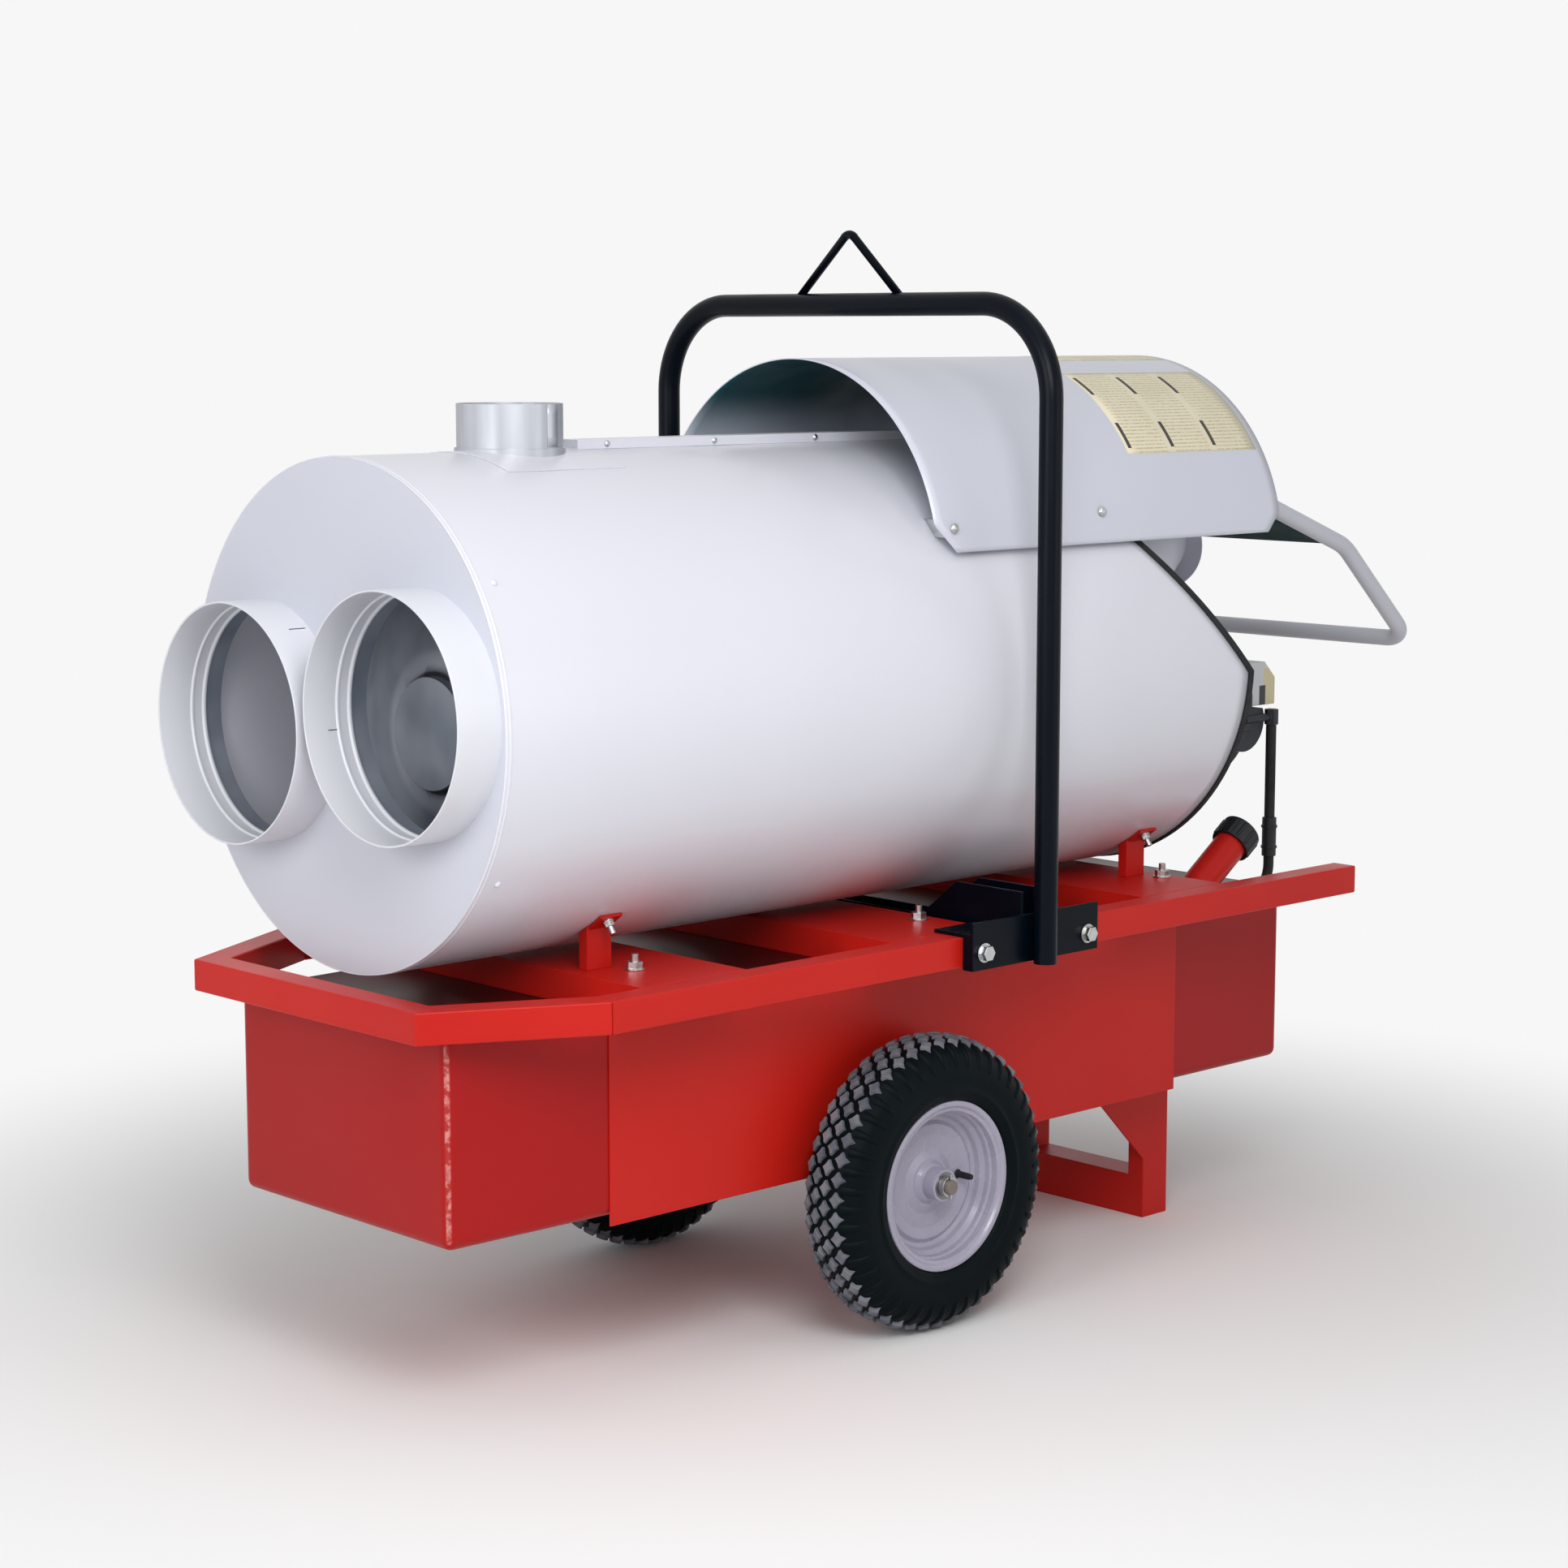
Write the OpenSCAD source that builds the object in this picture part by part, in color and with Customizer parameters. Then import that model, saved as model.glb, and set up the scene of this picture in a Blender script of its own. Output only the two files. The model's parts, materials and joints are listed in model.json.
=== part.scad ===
// Indirect-fired space heater on a two-wheel cart.
// X runs from the duct collars (front, -X) to the push handle (rear, +X), Y across, Z up.
// The origin is on the ground, under the middle of the heater. All sizes are in millimetres.

/* [Overall] */
// Length from the nose of the frame to the back of the handle
overall_l = 1928; // [1880:1:2050]

/* [Wheels and axle] */
// Outside diameter of the tyres
tyre_d = 404; // [390:1:412]
// Width of a tyre at its sidewalls
tyre_w = 100; // [94:1:104]
// Bead diameter of the tyre
bead_d = 203; // [195:1:208]
// Outside diameter of the rim flanges
rim_d = 232; // [226:1:240]
// Width of the rim over its flanges
rim_w = 87; // [82:1:90]
// Thickness of the rim steel
rim_t = 3; // [2:0.5:4]
// Distance between the middles of the tyres
track = 572; // [568:1:620]
// Distance from the nose of the frame back to the axle
axle_from_nose = 811; // [780:1:840]
// Diameter of the axle spindles
spindle_d = 20; // [16:1:24]
// Height and width of the square axle beam
axle_beam = 40; // [34:1:46]
// Outside diameter of the wheel bearings
bearing_d = 36; // [32:1:40]
// Width of one wheel bearing
bearing_w = 12; // [8:1:16]

/* [Tank] */
// Distance from the nose of the frame back to the tank
tank_from_nose = 58; // [50:1:80]
// Length of the tank
tank_l = 1598; // [1560:1:1600]
// Width of the tank
tank_w = 444; // [420:1:450]
// Height of the tank
tank_h = 266; // [240:1:300]
// Width of the tank at its front face
nose_w = 430; // [405:1:436]
// Length over which the tank widens
nose_l = 249; // [230:1:260]
// Sheet thickness of the tank
tank_t = 2.5; // [1.5:0.5:4]
// Height of the tank floor over the lower edge of the side panels
panel_lip = 12; // [8:1:20]
// Length of the side panels
panel_l = 1099; // [1050:1:1110]
// Thickness of the side panels
panel_t = 2.5; // [1.5:0.5:4]
// Outside diameter of the filler neck
neck_d = 50; // [46:1:54]
// Length of the filler neck along its middle
neck_l = 129; // [115:1:135]
// Outside diameter of the fuel cap
cap_d = 62; // [60:1:68]
// Height of the fuel cap
cap_h = 34; // [30:1:40]

/* [Frame] */
// Height and width of the square frame tube
rail_size = 41; // [38:1:44]
// Wall of the frame tube
rail_t = 3; // [2:0.5:4]
// Width over the two rails
frame_w = 686; // [680:1:700]
// Length from the nose to the back ends of the rails
frame_l = 1681; // [1640:1:1720]
// Width of the straight front bar
nose_bar_w = 465; // [440:1:500]
// Length of the slanted corners of the frame
corner_l = 212; // [190:1:230]
// Width of a cross member
cross_w = 175; // [165:1:185]
// Sheet thickness of the cross members
cross_t = 3; // [2:0.5:4]
// Distance from the nose to the front cross member
cross_front = 292; // [285:1:300]
// Distance from the nose to the middle cross member
cross_middle = 729; // [700:1:735]
// Distance from the nose to the rear cross member
cross_rear = 1236; // [1215:1:1260]
// Width of a saddle post
saddle_w = 40; // [34:1:46]
// Depth of a saddle post
saddle_depth = 16; // [14:1:24]
// Distance from the middle to the outer face of a saddle post
saddle_y = 175; // [165:1:182]
// Distance from the middle to the studs that hold the tank
stud_y = 208; // [190:1:210]
// Diameter of the frame studs and bolts
bolt_d = 12; // [10:1:14]

/* [Lifting bar] */
// Distance from the nose of the frame back to the lifting bar
lift_from_nose = 946; // [940:1:960]
// Tube diameter of the lifting bar
lift_d = 32; // [28:1:36]
// Height of the top of the lifting bar
lift_top = 1389; // [1360:1:1430]
// Bend radius of the lifting bar, to the middle of the tube
lift_bend_r = 125; // [100:1:150]
// Length of a rail bracket
bracket_l = 250; // [240:1:260]
// Distance from the face of the rail to the face of the bracket
bracket_depth = 19; // [16:1:24]
// Plate thickness of the brackets and the cross beam
plate_t = 5; // [4:0.5:6]
// Rod diameter of the lifting eye
eye_d = 12; // [10:1:14]
// Width of the lifting eye at its feet
eye_w = 187; // [160:1:220]
// Height of the lifting eye over the bar
eye_h = 85; // [70:1:100]

/* [Heater body] */
// Distance from the nose of the frame back to the front plate
shell_from_nose = 72; // [66:1:84]
// Outside diameter of the shell
shell_d = 640; // [630:1:650]
// Length of the shell
shell_l = 1380; // [1360:1:1400]
// Sheet thickness of the shell, plates and hood
sheet_t = 1.5; // [1:0.5:2]
// Gap between the shell and the top of the frame
shell_gap = 5; // [4:1:10]
// How far the slanted rear face starts below the middle of the shell
slant_drop = 17; // [10:1:25]
// Outside diameter of a duct collar
duct_d = 306; // [296:1:308]
// Length of a duct collar in front of the plate
duct_l = 64; // [50:1:70]
// Distance between the middles of the duct collars
duct_pitch = 320; // [318:1:322]
// Angle by which the pair of duct collars is turned
duct_tilt = 5.8; // [0:0.1:8]
// Outside diameter of the chimney collar
chimney_d = 136; // [128:1:140]
// Height of the chimney collar over the shell
chimney_h = 60; // [50:1:80]
// Distance from the front plate back to the chimney
chimney_from_front = 268; // [255:1:285]
// Length of the chimney saddle flange
saddle_flange_l = 190; // [180:1:210]
// Angle that the chimney saddle flange covers to each side
saddle_flange_a = 21; // [18:1:25]
// Height of the top seam strip
seam_h = 12; // [8:1:15]
// Width of the top seam strip
seam_w = 40; // [30:1:50]
// Width of the black edge trim
trim_w = 7; // [5:1:12]
// Thickness of the black edge trim
trim_t = 2.5; // [1.5:0.5:3.5]

/* [Heat exchanger] */
// Diameter of the heat exchanger drum
drum_d = 470; // [440:1:480]
// Length of the straight part of the drum
drum_l = 940; // [900:1:960]
// Depth of the domed front of the drum
dome_h = 60; // [50:1:70]
// Distance from the front plate back to the dome
plenum_l = 139; // [125:1:150]
// How far the drum lies below the middle of the shell
drum_drop = 32; // [28:1:36]
// Sheet thickness of the drum and chamber
drum_t = 2; // [1.5:0.5:3]
// Diameter of the raised disc on the dome
disc_d = 144; // [120:1:170]
// Diameter of the combustion chamber
chamber_d = 260; // [220:1:280]
// Length of the combustion chamber
chamber_l = 790; // [700:1:820]
// Diameter of the burner throat
throat_d = 160; // [150:1:165]

/* [Fan] */
// Outside diameter of the fan ring
ring_d = 420; // [400:1:430]
// Height of the fan ring over the slanted deck
ring_h = 140; // [130:1:150]
// Diameter over the fan blades
fan_d = 396; // [370:1:398]
// Diameter of the fan hub
hub_d = 90; // [70:1:110]
// Angle of the blades
blade_a = 32; // [25:1:38]
// Diameter of the fan shaft
fan_shaft_d = 16; // [12:1:20]
// Diameter of the fan motor
fan_motor_d = 130; // [120:1:140]
// Length of the fan motor
fan_motor_l = 110; // [90:1:120]

/* [Hood and handle] */
// Distance from the nose of the frame back to the hood
hood_from_nose = 836; // [820:1:850]
// Length of the hood
hood_l = 730; // [700:1:750]
// Diameter of the hood
hood_d = 560; // [550:1:570]
// Height of the middle of the hood over the middle of the shell
hood_rise = 154; // [148:1:162]
// Height of the lower edge of the hood over its middle
hood_edge = 25; // [20:1:30]
// Size of the cut front corners of the hood
hood_cut = 38; // [30:1:45]
// Cut of the hood's rear corners
rear_cut = 30; // [20:1:35]
// Tube diameter of the handle
handle_d = 25.4; // [22:0.2:28]
// Height of the handle arms over the middle of the hood
handle_rise = 68; // [64:1:74]
// Length of the first slope of the handle
handle_l1 = 216; // [195:1:225]
// Angle of the first slope
handle_a1 = 20; // [15:1:25]
// Angle of the second slope
handle_a2 = 42.5; // [38:0.5:45]
// Bend radius of the handle corners
handle_bend_r = 40; // [32:1:48]

/* [Burner] */
// Height of the burner below the middle of the shell
burner_drop = 109; // [105:1:115]
// Diameter of the blast tube
blast_d = 114; // [100:1:125]
// Width of the square burner flange
flange_w = 180; // [165:1:180]
// Distance from the rear plate back to the blower shaft
blower_x = 190; // [180:1:200]
// Diameter of the blower housing
scroll_d = 204; // [194:1:212]
// Width of the blower housing
scroll_w = 150; // [140:1:154]
// Diameter of the blower wheel
blower_d = 160; // [140:1:170]
// Diameter of the blower shaft
blower_shaft_d = 12; // [10:1:14]
// Diameter of the burner motor
burner_motor_d = 130; // [120:1:140]
// Length of the burner motor
burner_motor_l = 115; // [100:1:125]
// Diameter of the air shutter
shutter_d = 140; // [130:1:144]
// Width of the fuel pump
pump_w = 56; // [50:1:58]
// Outside diameter of the fuel hose
hose_d = 16; // [12:1:18]
// Bend radius of the fuel hose
hose_bend_r = 48; // [46:1:52]
// Height of the tank outlet over the tank floor
outlet_z = 236; // [225:1:240]

/* [Controls] */
// Width of the electric control box
box_w = 126; // [115:1:130]
// Height of the electric control box
box_h = 150; // [130:1:155]
// Depth of the electric control box
box_depth = 80; // [70:1:90]
// Diameter of the thermostat knob
knob_d = 40; // [34:1:46]
// Travel of the reset button
reset_travel = 3; // [2:0.5:4]

/* [Rear stand] */
// Distance from the axle back to the stand
stand_from_axle = 634; // [610:1:660]
// Width of the stand
stand_w = 270; // [240:1:300]
// Width of the stand tube, front to back
foot_w = 56; // [50:1:60]
// Height of the foot bar
foot_h = 63; // [55:1:70]
// Length of the gusset below the tank
gusset_l = 142; // [120:1:150]

/* [Hidden] */
$fn = 96;

// Small gap between pieces that are fitted into each other
fit = 0.3;
// Radial running clearance of shafts
run = 0.05;
// Overlap of cutting bodies past the face that they cut
eps = 1;

// Places along the length
nose_x = -overall_l / 2;
axle_x = nose_x + axle_from_nose;
tank_x = nose_x + tank_from_nose;
tank_rear_x = tank_x + tank_l;
panel_x = tank_x + nose_l;
shell_x = nose_x + shell_from_nose;
rear_x = shell_x + shell_l;
lift_x = nose_x + lift_from_nose;
hood_x = nose_x + hood_from_nose;
stand_x = axle_x + stand_from_axle;
chimney_x = shell_x + chimney_from_front;
crosses = [nose_x + cross_front, nose_x + cross_middle, nose_x + cross_rear];

// Heights
axle_z = tyre_d / 2;
panel_z = axle_z + axle_beam / 2;
tank_z = panel_z + panel_lip;
tank_top = tank_z + tank_h;
rail_z = tank_top;
rail_top = rail_z + rail_size;
shell_r = shell_d / 2;
shell_z = rail_top + shell_gap + shell_r;
slant_z = shell_z - slant_drop;
crest_z = shell_z + shell_r;
hood_z = shell_z + hood_rise;
drum_z = shell_z - drum_drop;
burner_z = shell_z - burner_drop;

// Slanted rear face: a 45 degree plane through the top edge of the rear plate
slant_rise = crest_z - slant_z;
fan_shift = 10;
fan_x = rear_x - slant_rise / 2 + fan_shift;
fan_z = slant_z + slant_rise / 2 - fan_shift;
slant_h = 3 * shell_l;

// Frame
rail_y = frame_w / 2;
corner_a = atan((frame_w - nose_bar_w) / 2 / corner_l);
inner_y = rail_y - rail_size;
bracket_y = rail_y + bracket_depth;
lift_y = bracket_y + lift_d / 2;
bracket_bolt = bracket_l / 2 - 22;
beam_w = 50;
saddle_x = [nose_x + cross_front + 22, nose_x + cross_rear + 113];
stud_x = [nose_x + cross_front + 72, nose_x + cross_middle + 148, nose_x + cross_rear + 155];

// Heat exchanger
drum_x = shell_x + plenum_l + dome_h;
drum_r = drum_d / 2;
dome_r = (pow(drum_r, 2) + pow(dome_h, 2)) / (2 * dome_h);
chamber_x = drum_x + drum_l - drum_t - chamber_l;
flue_d = chimney_d - 8;

// Handle: inside the hood, down the first slope, down the second slope and across
handle_r = handle_d / 2;
hood_r = hood_d / 2;
hood_in = hood_r - sheet_t;
handle_y = sqrt(pow(hood_in - handle_r - fit / 3, 2) - pow(handle_rise, 2));
handle_z = hood_z + handle_rise;
handle_x = hood_x + hood_l - 412;
bend_x = hood_x + hood_l - 20;
mid_x = bend_x + handle_l1 * cos(handle_a1);
mid_z = handle_z - handle_l1 * sin(handle_a1);
end_x = overall_l / 2 - handle_r;
handle_l2 = (end_x - mid_x) / cos(handle_a2);
bend_r = 90;
bend_in = 3;
bend_t1 = bend_r * tan(handle_a1 / 2);
bend_t2 = bend_r * tan((handle_a2 - handle_a1) / 2);
clip_x = hood_x + 35;
clip_rise = 57;
rear_clip_x = hood_x + 335;

// Burner
burner_x = rear_x + blower_x;
scroll_y = 90;
pump_y = scroll_y + 15;
pump_l = 45;
hose_x = burner_x + 75;
hose_y = pump_y + pump_l;
hose_top = burner_z - 22;
hose_low = tank_z + outlet_z + hose_bend_r;
filter_h = 60;
filter_z = tank_top + 30;
filter_r = 11;

// Filler neck
neck_x = tank_rear_x - 171;
neck_y = tank_w / 2 - 37;
neck_a = 55;

// Wheels
wheel_y = track / 2;
rim_y = rim_w / 2;
hub_r = bearing_d / 2 + 4;
hub_in = wheel_y - tank_w / 2 - panel_t - 5.5;
hub_out = rim_w / 2 - 6;
spindle_end = wheel_y + rim_y + 9;
washer_t = 2.5;

// A body laid along +X, and one laid along +Y
module along_x(x, y, z)
    translate([x, y, z])
        rotate([0, 90, 0])
            children();

module along_y(x, y, z)
    translate([x, y, z])
        rotate([-90, 0, 0])
            children();

// Both sides of the machine
module both_sides() {
    children();
    mirror([0, 1, 0])
        children();
}

// A straight tube with a bore, standing on z = 0
module tube(d, wall, l)
    difference() {
        cylinder(d = d, h = l);
        translate([0, 0, -eps])
            cylinder(d = d - 2 * wall, h = l + 2 * eps);
    }

// A hexagon bolt head or nut with its shank pointing down
module hex_bolt(d, shank) {
    cylinder(d = 1.8 * d, h = 0.7 * d, $fn = 6);
    translate([0, 0, -shank])
        cylinder(d = d, h = shank);
}

// Half space in front of and below the slanted rear face, moved out by gap along its normal
module under_slant(gap = 0)
    translate([rear_x, 0, slant_z])
        rotate([0, 45, 0])
            translate([-slant_h / 2, -slant_h / 2, gap - slant_h])
                cube(slant_h);

// Local frame of the fan: Z points out of the slanted face
module at_fan()
    translate([fan_x, 0, fan_z])
        rotate([0, 45, 0])
            children();

// Tank
function tank_plan(t) = [
    [tank_x + t, -nose_w / 2 + t], [tank_x + nose_l, -tank_w / 2 + t],
    [tank_rear_x - t, -tank_w / 2 + t], [tank_rear_x - t, tank_w / 2 - t],
    [tank_x + nose_l, tank_w / 2 - t], [tank_x + t, nose_w / 2 - t]];

module tank_shell()
    color([0.72, 0.13, 0.11])
        difference() {
            translate([0, 0, tank_z])
                linear_extrude(tank_h)
                    polygon(tank_plan(0));
            translate([0, 0, tank_z + tank_t])
                linear_extrude(tank_h - 2 * tank_t)
                    polygon(tank_plan(tank_t));
            neck_axis()
                cylinder(d = neck_d - 3, h = 80, center = true);
            along_x(tank_rear_x - 10, -hose_y, tank_z + outlet_z)
                cylinder(d = hose_d, h = 20);
            translate([tank_rear_x - 60, 100, tank_z - eps])
                cylinder(d = 20 + 2 * fit, h = 10);
        }

module side_panels()
    color([0.74, 0.14, 0.12])
        both_sides()
            translate([panel_x, tank_w / 2, panel_z])
                cube([panel_l, panel_t, rail_z - panel_z]);

// The neck's own axis, leaning to the rear from the top of the tank
module neck_axis()
    translate([neck_x, -neck_y, tank_top])
        rotate([0, neck_a, 0])
            children();

module filler_neck()
    color([0.72, 0.13, 0.11])
        difference() {
            neck_axis()
                translate([0, 0, -neck_d])
                    cylinder(d = neck_d, h = neck_l + neck_d);
            neck_axis()
                translate([0, 0, -neck_d - eps])
                    cylinder(d = neck_d - 6, h = neck_l + neck_d + 2 * eps);
            translate([neck_x - 100, -neck_y - 100, tank_top - 200])
                cube(200);
        }

module fuel_cap()
    color([0.04, 0.04, 0.05])
        neck_axis()
            translate([0, 0, neck_l + fit])
                difference() {
                    union() {
                        translate([0, 0, -cap_h / 2])
                            cylinder(d = cap_d, h = cap_h);
                        for (i = [0 : 11])
                            rotate([0, 0, i * 30 + 15])
                                translate([cap_d / 2 - 2, -2, 3 - cap_h / 2])
                                    cube([3, 4, cap_h - 7]);
                    }
                    translate([0, 0, -cap_h / 2 - eps])
                        difference() {
                            cylinder(d = neck_d + 2 * fit, h = cap_h / 2 + eps);
                            cylinder(d = neck_d - 6 - 2 * fit, h = cap_h / 2 + eps);
                        }
                }

// Suction pipe through the rear wall of the tank, with its strainer
module fuel_pickup()
    color([0.6, 0.55, 0.35]) {
        along_x(tank_rear_x - 90, -hose_y, tank_z + outlet_z) {
            cylinder(d = hose_d - 4, h = hose_x - hose_bend_r - tank_rear_x + 90);
            cylinder(d = hose_d + 10, h = 50);
        }
        along_x(tank_rear_x, -hose_y, tank_z + outlet_z)
            cylinder(d = hose_d + 10, h = 5, $fn = 6);
    }

// Inline filter between the two lengths of hose
module fuel_filter()
    color([0.03, 0.03, 0.035])
        translate([hose_x, -hose_y, filter_z]) {
            cylinder(r = filter_r, h = filter_h);
            for (z = [12, filter_h - 16])
                translate([0, 0, z])
                    cylinder(r = filter_r + 1.5, h = 4);
        }

module fuel_hose()
    color([0.03, 0.03, 0.035]) {
        translate([hose_x, -hose_y, filter_z + filter_h])
            cylinder(d = hose_d, h = hose_top - filter_z - filter_h);
        translate([hose_x, -hose_y, hose_low])
            cylinder(d = hose_d, h = filter_z - hose_low);
        translate([hose_x - hose_bend_r, -hose_y, hose_low])
            rotate([90, 0, 0])
                rotate([0, 0, -90])
                    rotate_extrude(angle = 90)
                        translate([hose_bend_r, 0])
                            circle(d = hose_d);
    }

module drain_plug()
    color([0.6, 0.6, 0.62])
        translate([tank_rear_x - 60, 100, tank_z]) {
            translate([0, 0, -6])
                cylinder(d = 30, h = 6, $fn = 6);
            cylinder(d = 20, h = 8);
        }

// Frame
function rail_plan(t) = [
    [nose_x + corner_l + t * tan(corner_a / 2), rail_y - t],
    [nose_x + frame_l - t, rail_y - t],
    [nose_x + frame_l - t, inner_y + t],
    [nose_x + corner_l + (rail_size - t) * tan(corner_a / 2), inner_y + t]];

module rail_right()
    color([0.75, 0.15, 0.13])
        difference() {
            translate([0, 0, rail_z])
                linear_extrude(rail_size)
                    polygon(rail_plan(0));
            translate([0, 0, rail_z + rail_t])
                linear_extrude(rail_size - 2 * rail_t)
                    polygon(rail_plan(rail_t));
            for (s = [-1, 1])
                along_y(lift_x + s * bracket_bolt, inner_y - eps, rail_z + rail_size / 2)
                    cylinder(d = bolt_d + 2 * fit, h = rail_size + 2 * eps);
        }

module rail_left()
    mirror([0, 1, 0])
        rail_right();

// Distance from a face to its mitre point at the front corners, as a share of the tube
mitre = tan((90 - corner_a) / 2);

function nose_plan(t) = [
    [nose_x + corner_l + t * tan(corner_a / 2), -rail_y + t],
    [nose_x + t, -nose_bar_w / 2 + t * mitre],
    [nose_x + t, nose_bar_w / 2 - t * mitre],
    [nose_x + corner_l + t * tan(corner_a / 2), rail_y - t],
    [nose_x + corner_l + (rail_size - t) * tan(corner_a / 2), inner_y + t],
    [nose_x + rail_size - t, nose_bar_w / 2 - (rail_size - t) * mitre],
    [nose_x + rail_size - t, -nose_bar_w / 2 + (rail_size - t) * mitre],
    [nose_x + corner_l + (rail_size - t) * tan(corner_a / 2), -inner_y - t]];

module frame_nose()
    color([0.75, 0.15, 0.13])
        difference() {
            translate([0, 0, rail_z])
                linear_extrude(rail_size)
                    polygon(nose_plan(0));
            translate([0, 0, rail_z + rail_t])
                linear_extrude(rail_size - 2 * rail_t)
                    polygon(nose_plan(rail_t));
        }

module cross_members()
    color([0.68, 0.12, 0.1])
        for (x = crosses)
            difference() {
                translate([x, -inner_y, rail_z])
                    cube([cross_w, 2 * inner_y, rail_size]);
                translate([x + cross_t, -inner_y - eps, rail_z - eps])
                    cube([cross_w - 2 * cross_t, 2 * inner_y + 2 * eps, rail_size - cross_t + eps]);
                for (sx = stud_x)
                    for (s = [-1, 1])
                        translate([sx, s * stud_y, rail_z])
                            cylinder(d = bolt_d + 2 * fit, h = rail_size + eps);
            }

// Angle round the shell, from its lowest line, where the saddle tabs lie
tab_a = asin((saddle_y - saddle_depth / 2) / shell_r);
tab_bolt_d = 8;

// Local frame of a tab: X out of the shell, Z along the heater
module at_tab(x)
    along_x(x, 0, shell_z)
        rotate([0, 0, tab_a + 3.5])
            translate([shell_r, 0, 0])
                children();

// A post on the cross member, with a bolted tab that lies against the shell
module saddle_post(x)
    difference() {
        union() {
            translate([x, saddle_y - saddle_depth, rail_top])
                cube([saddle_w, saddle_depth, shell_r]);
            at_tab(x)
                translate([-6, -15, 2])
                    cube([10, 33, saddle_w - 4]);
        }
        at_tab(x)
            translate([-10, 7, saddle_w / 2])
                rotate([0, 90, 0])
                    cylinder(d = tab_bolt_d + 2 * fit, h = 40);
        along_x(x - eps, 0, shell_z)
            cylinder(r = shell_r + fit, h = saddle_w + 2 * eps);
        translate([x - eps, saddle_y - saddle_depth - eps, shell_z - shell_r / 2])
            cube([saddle_w + 2 * eps, saddle_depth + 2 * eps, shell_r]);
    }

module saddle_posts()
    color([0.75, 0.15, 0.13])
        both_sides()
            for (x = saddle_x)
                saddle_post(x);

module frame_bolts()
    color([0.78, 0.78, 0.8]) {
        for (s = [-1, 1])
            for (x = stud_x)
                translate([x, s * stud_y, rail_top]) {
                    cylinder(d = 2.2 * bolt_d, h = 2);
                    translate([0, 0, 2])
                        hex_bolt(bolt_d, rail_size + 2);
                    cylinder(d = bolt_d - 2, h = bolt_d + 8);
                }
        both_sides()
            for (s = [-1, 1])
                translate([lift_x + s * bracket_bolt, bracket_y, rail_z + rail_size / 2])
                    rotate([-90, 0, 0]) {
                        cylinder(d = 2.2 * bolt_d, h = 2);
                        translate([0, 0, 2])
                            hex_bolt(bolt_d, bracket_depth + rail_size + 2);
                    }
        both_sides()
            for (x = saddle_x)
                at_tab(x)
                    translate([4, 7, saddle_w / 2])
                        rotate([0, 90, 0]) {
                            cylinder(d = 16, h = 2);
                            cylinder(d = 14, h = 8.5, $fn = 6);
                            translate([0, 0, -3])
                                cylinder(d = tab_bolt_d, h = 22);
                        }
    }

// Lifting bar: two legs, two bends and a straight top
module lift_bar()
    color([0.03, 0.06, 0.08]) {
        leg_top = lift_top - lift_d / 2 - lift_bend_r;
        both_sides() {
            translate([lift_x, lift_y, rail_z - 5])
                cylinder(d = lift_d, h = leg_top - rail_z + 5);
            translate([lift_x, lift_y - lift_bend_r, leg_top])
                rotate([90, 0, 90])
                    rotate_extrude(angle = 90)
                        translate([lift_bend_r, 0])
                            circle(d = lift_d);
        }
        along_y(lift_x, lift_bend_r - lift_y, lift_top - lift_d / 2)
            cylinder(d = lift_d, h = 2 * (lift_y - lift_bend_r));
    }

// A bent rod, its feet on top of the bar
module lift_eye()
    color([0.03, 0.04, 0.05])
        difference() {
            eye_a = atan(eye_w / 2 / eye_h);
            eye_r = 14;
            straight_x = eye_r / tan(eye_a);
            union() {
                for (s = [-1, 1])
                    translate([lift_x, 0, lift_top + eye_h])
                        rotate([180 - s * eye_a, 0, 0])
                            translate([0, 0, straight_x - 2])
                                cylinder(d = eye_d - 0.6, h = (eye_h + lift_d / 2) / cos(eye_a) - straight_x + 2);
                translate([lift_x, 0, lift_top + eye_h - eye_r / sin(eye_a)])
                    rotate([90, 0, 90])
                        rotate([0, 0, eye_a])
                            rotate_extrude(angle = 180 - 2 * eye_a)
                                translate([eye_r, 0])
                                    circle(d = eye_d);
            }
            along_y(lift_x, -eye_w, lift_top - lift_d / 2)
                cylinder(d = lift_d, h = 2 * eye_w);
        }

// Outline of the black cross beam, seen from the front: low under the shell, over the rails at its ends
end_z = rail_top + plate_t;
ear_z = rail_top + 51;
beam_low = rail_z + 2;
function beam_half(s) = [
    [s * (inner_y - 2), beam_low], [s * (inner_y - 2), end_z],
    [s * (bracket_y - plate_t), end_z], [s * (bracket_y - plate_t), ear_z],
    [s * (inner_y - 67), ear_z], [s * (inner_y - 132), rail_top - 2]];

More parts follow.
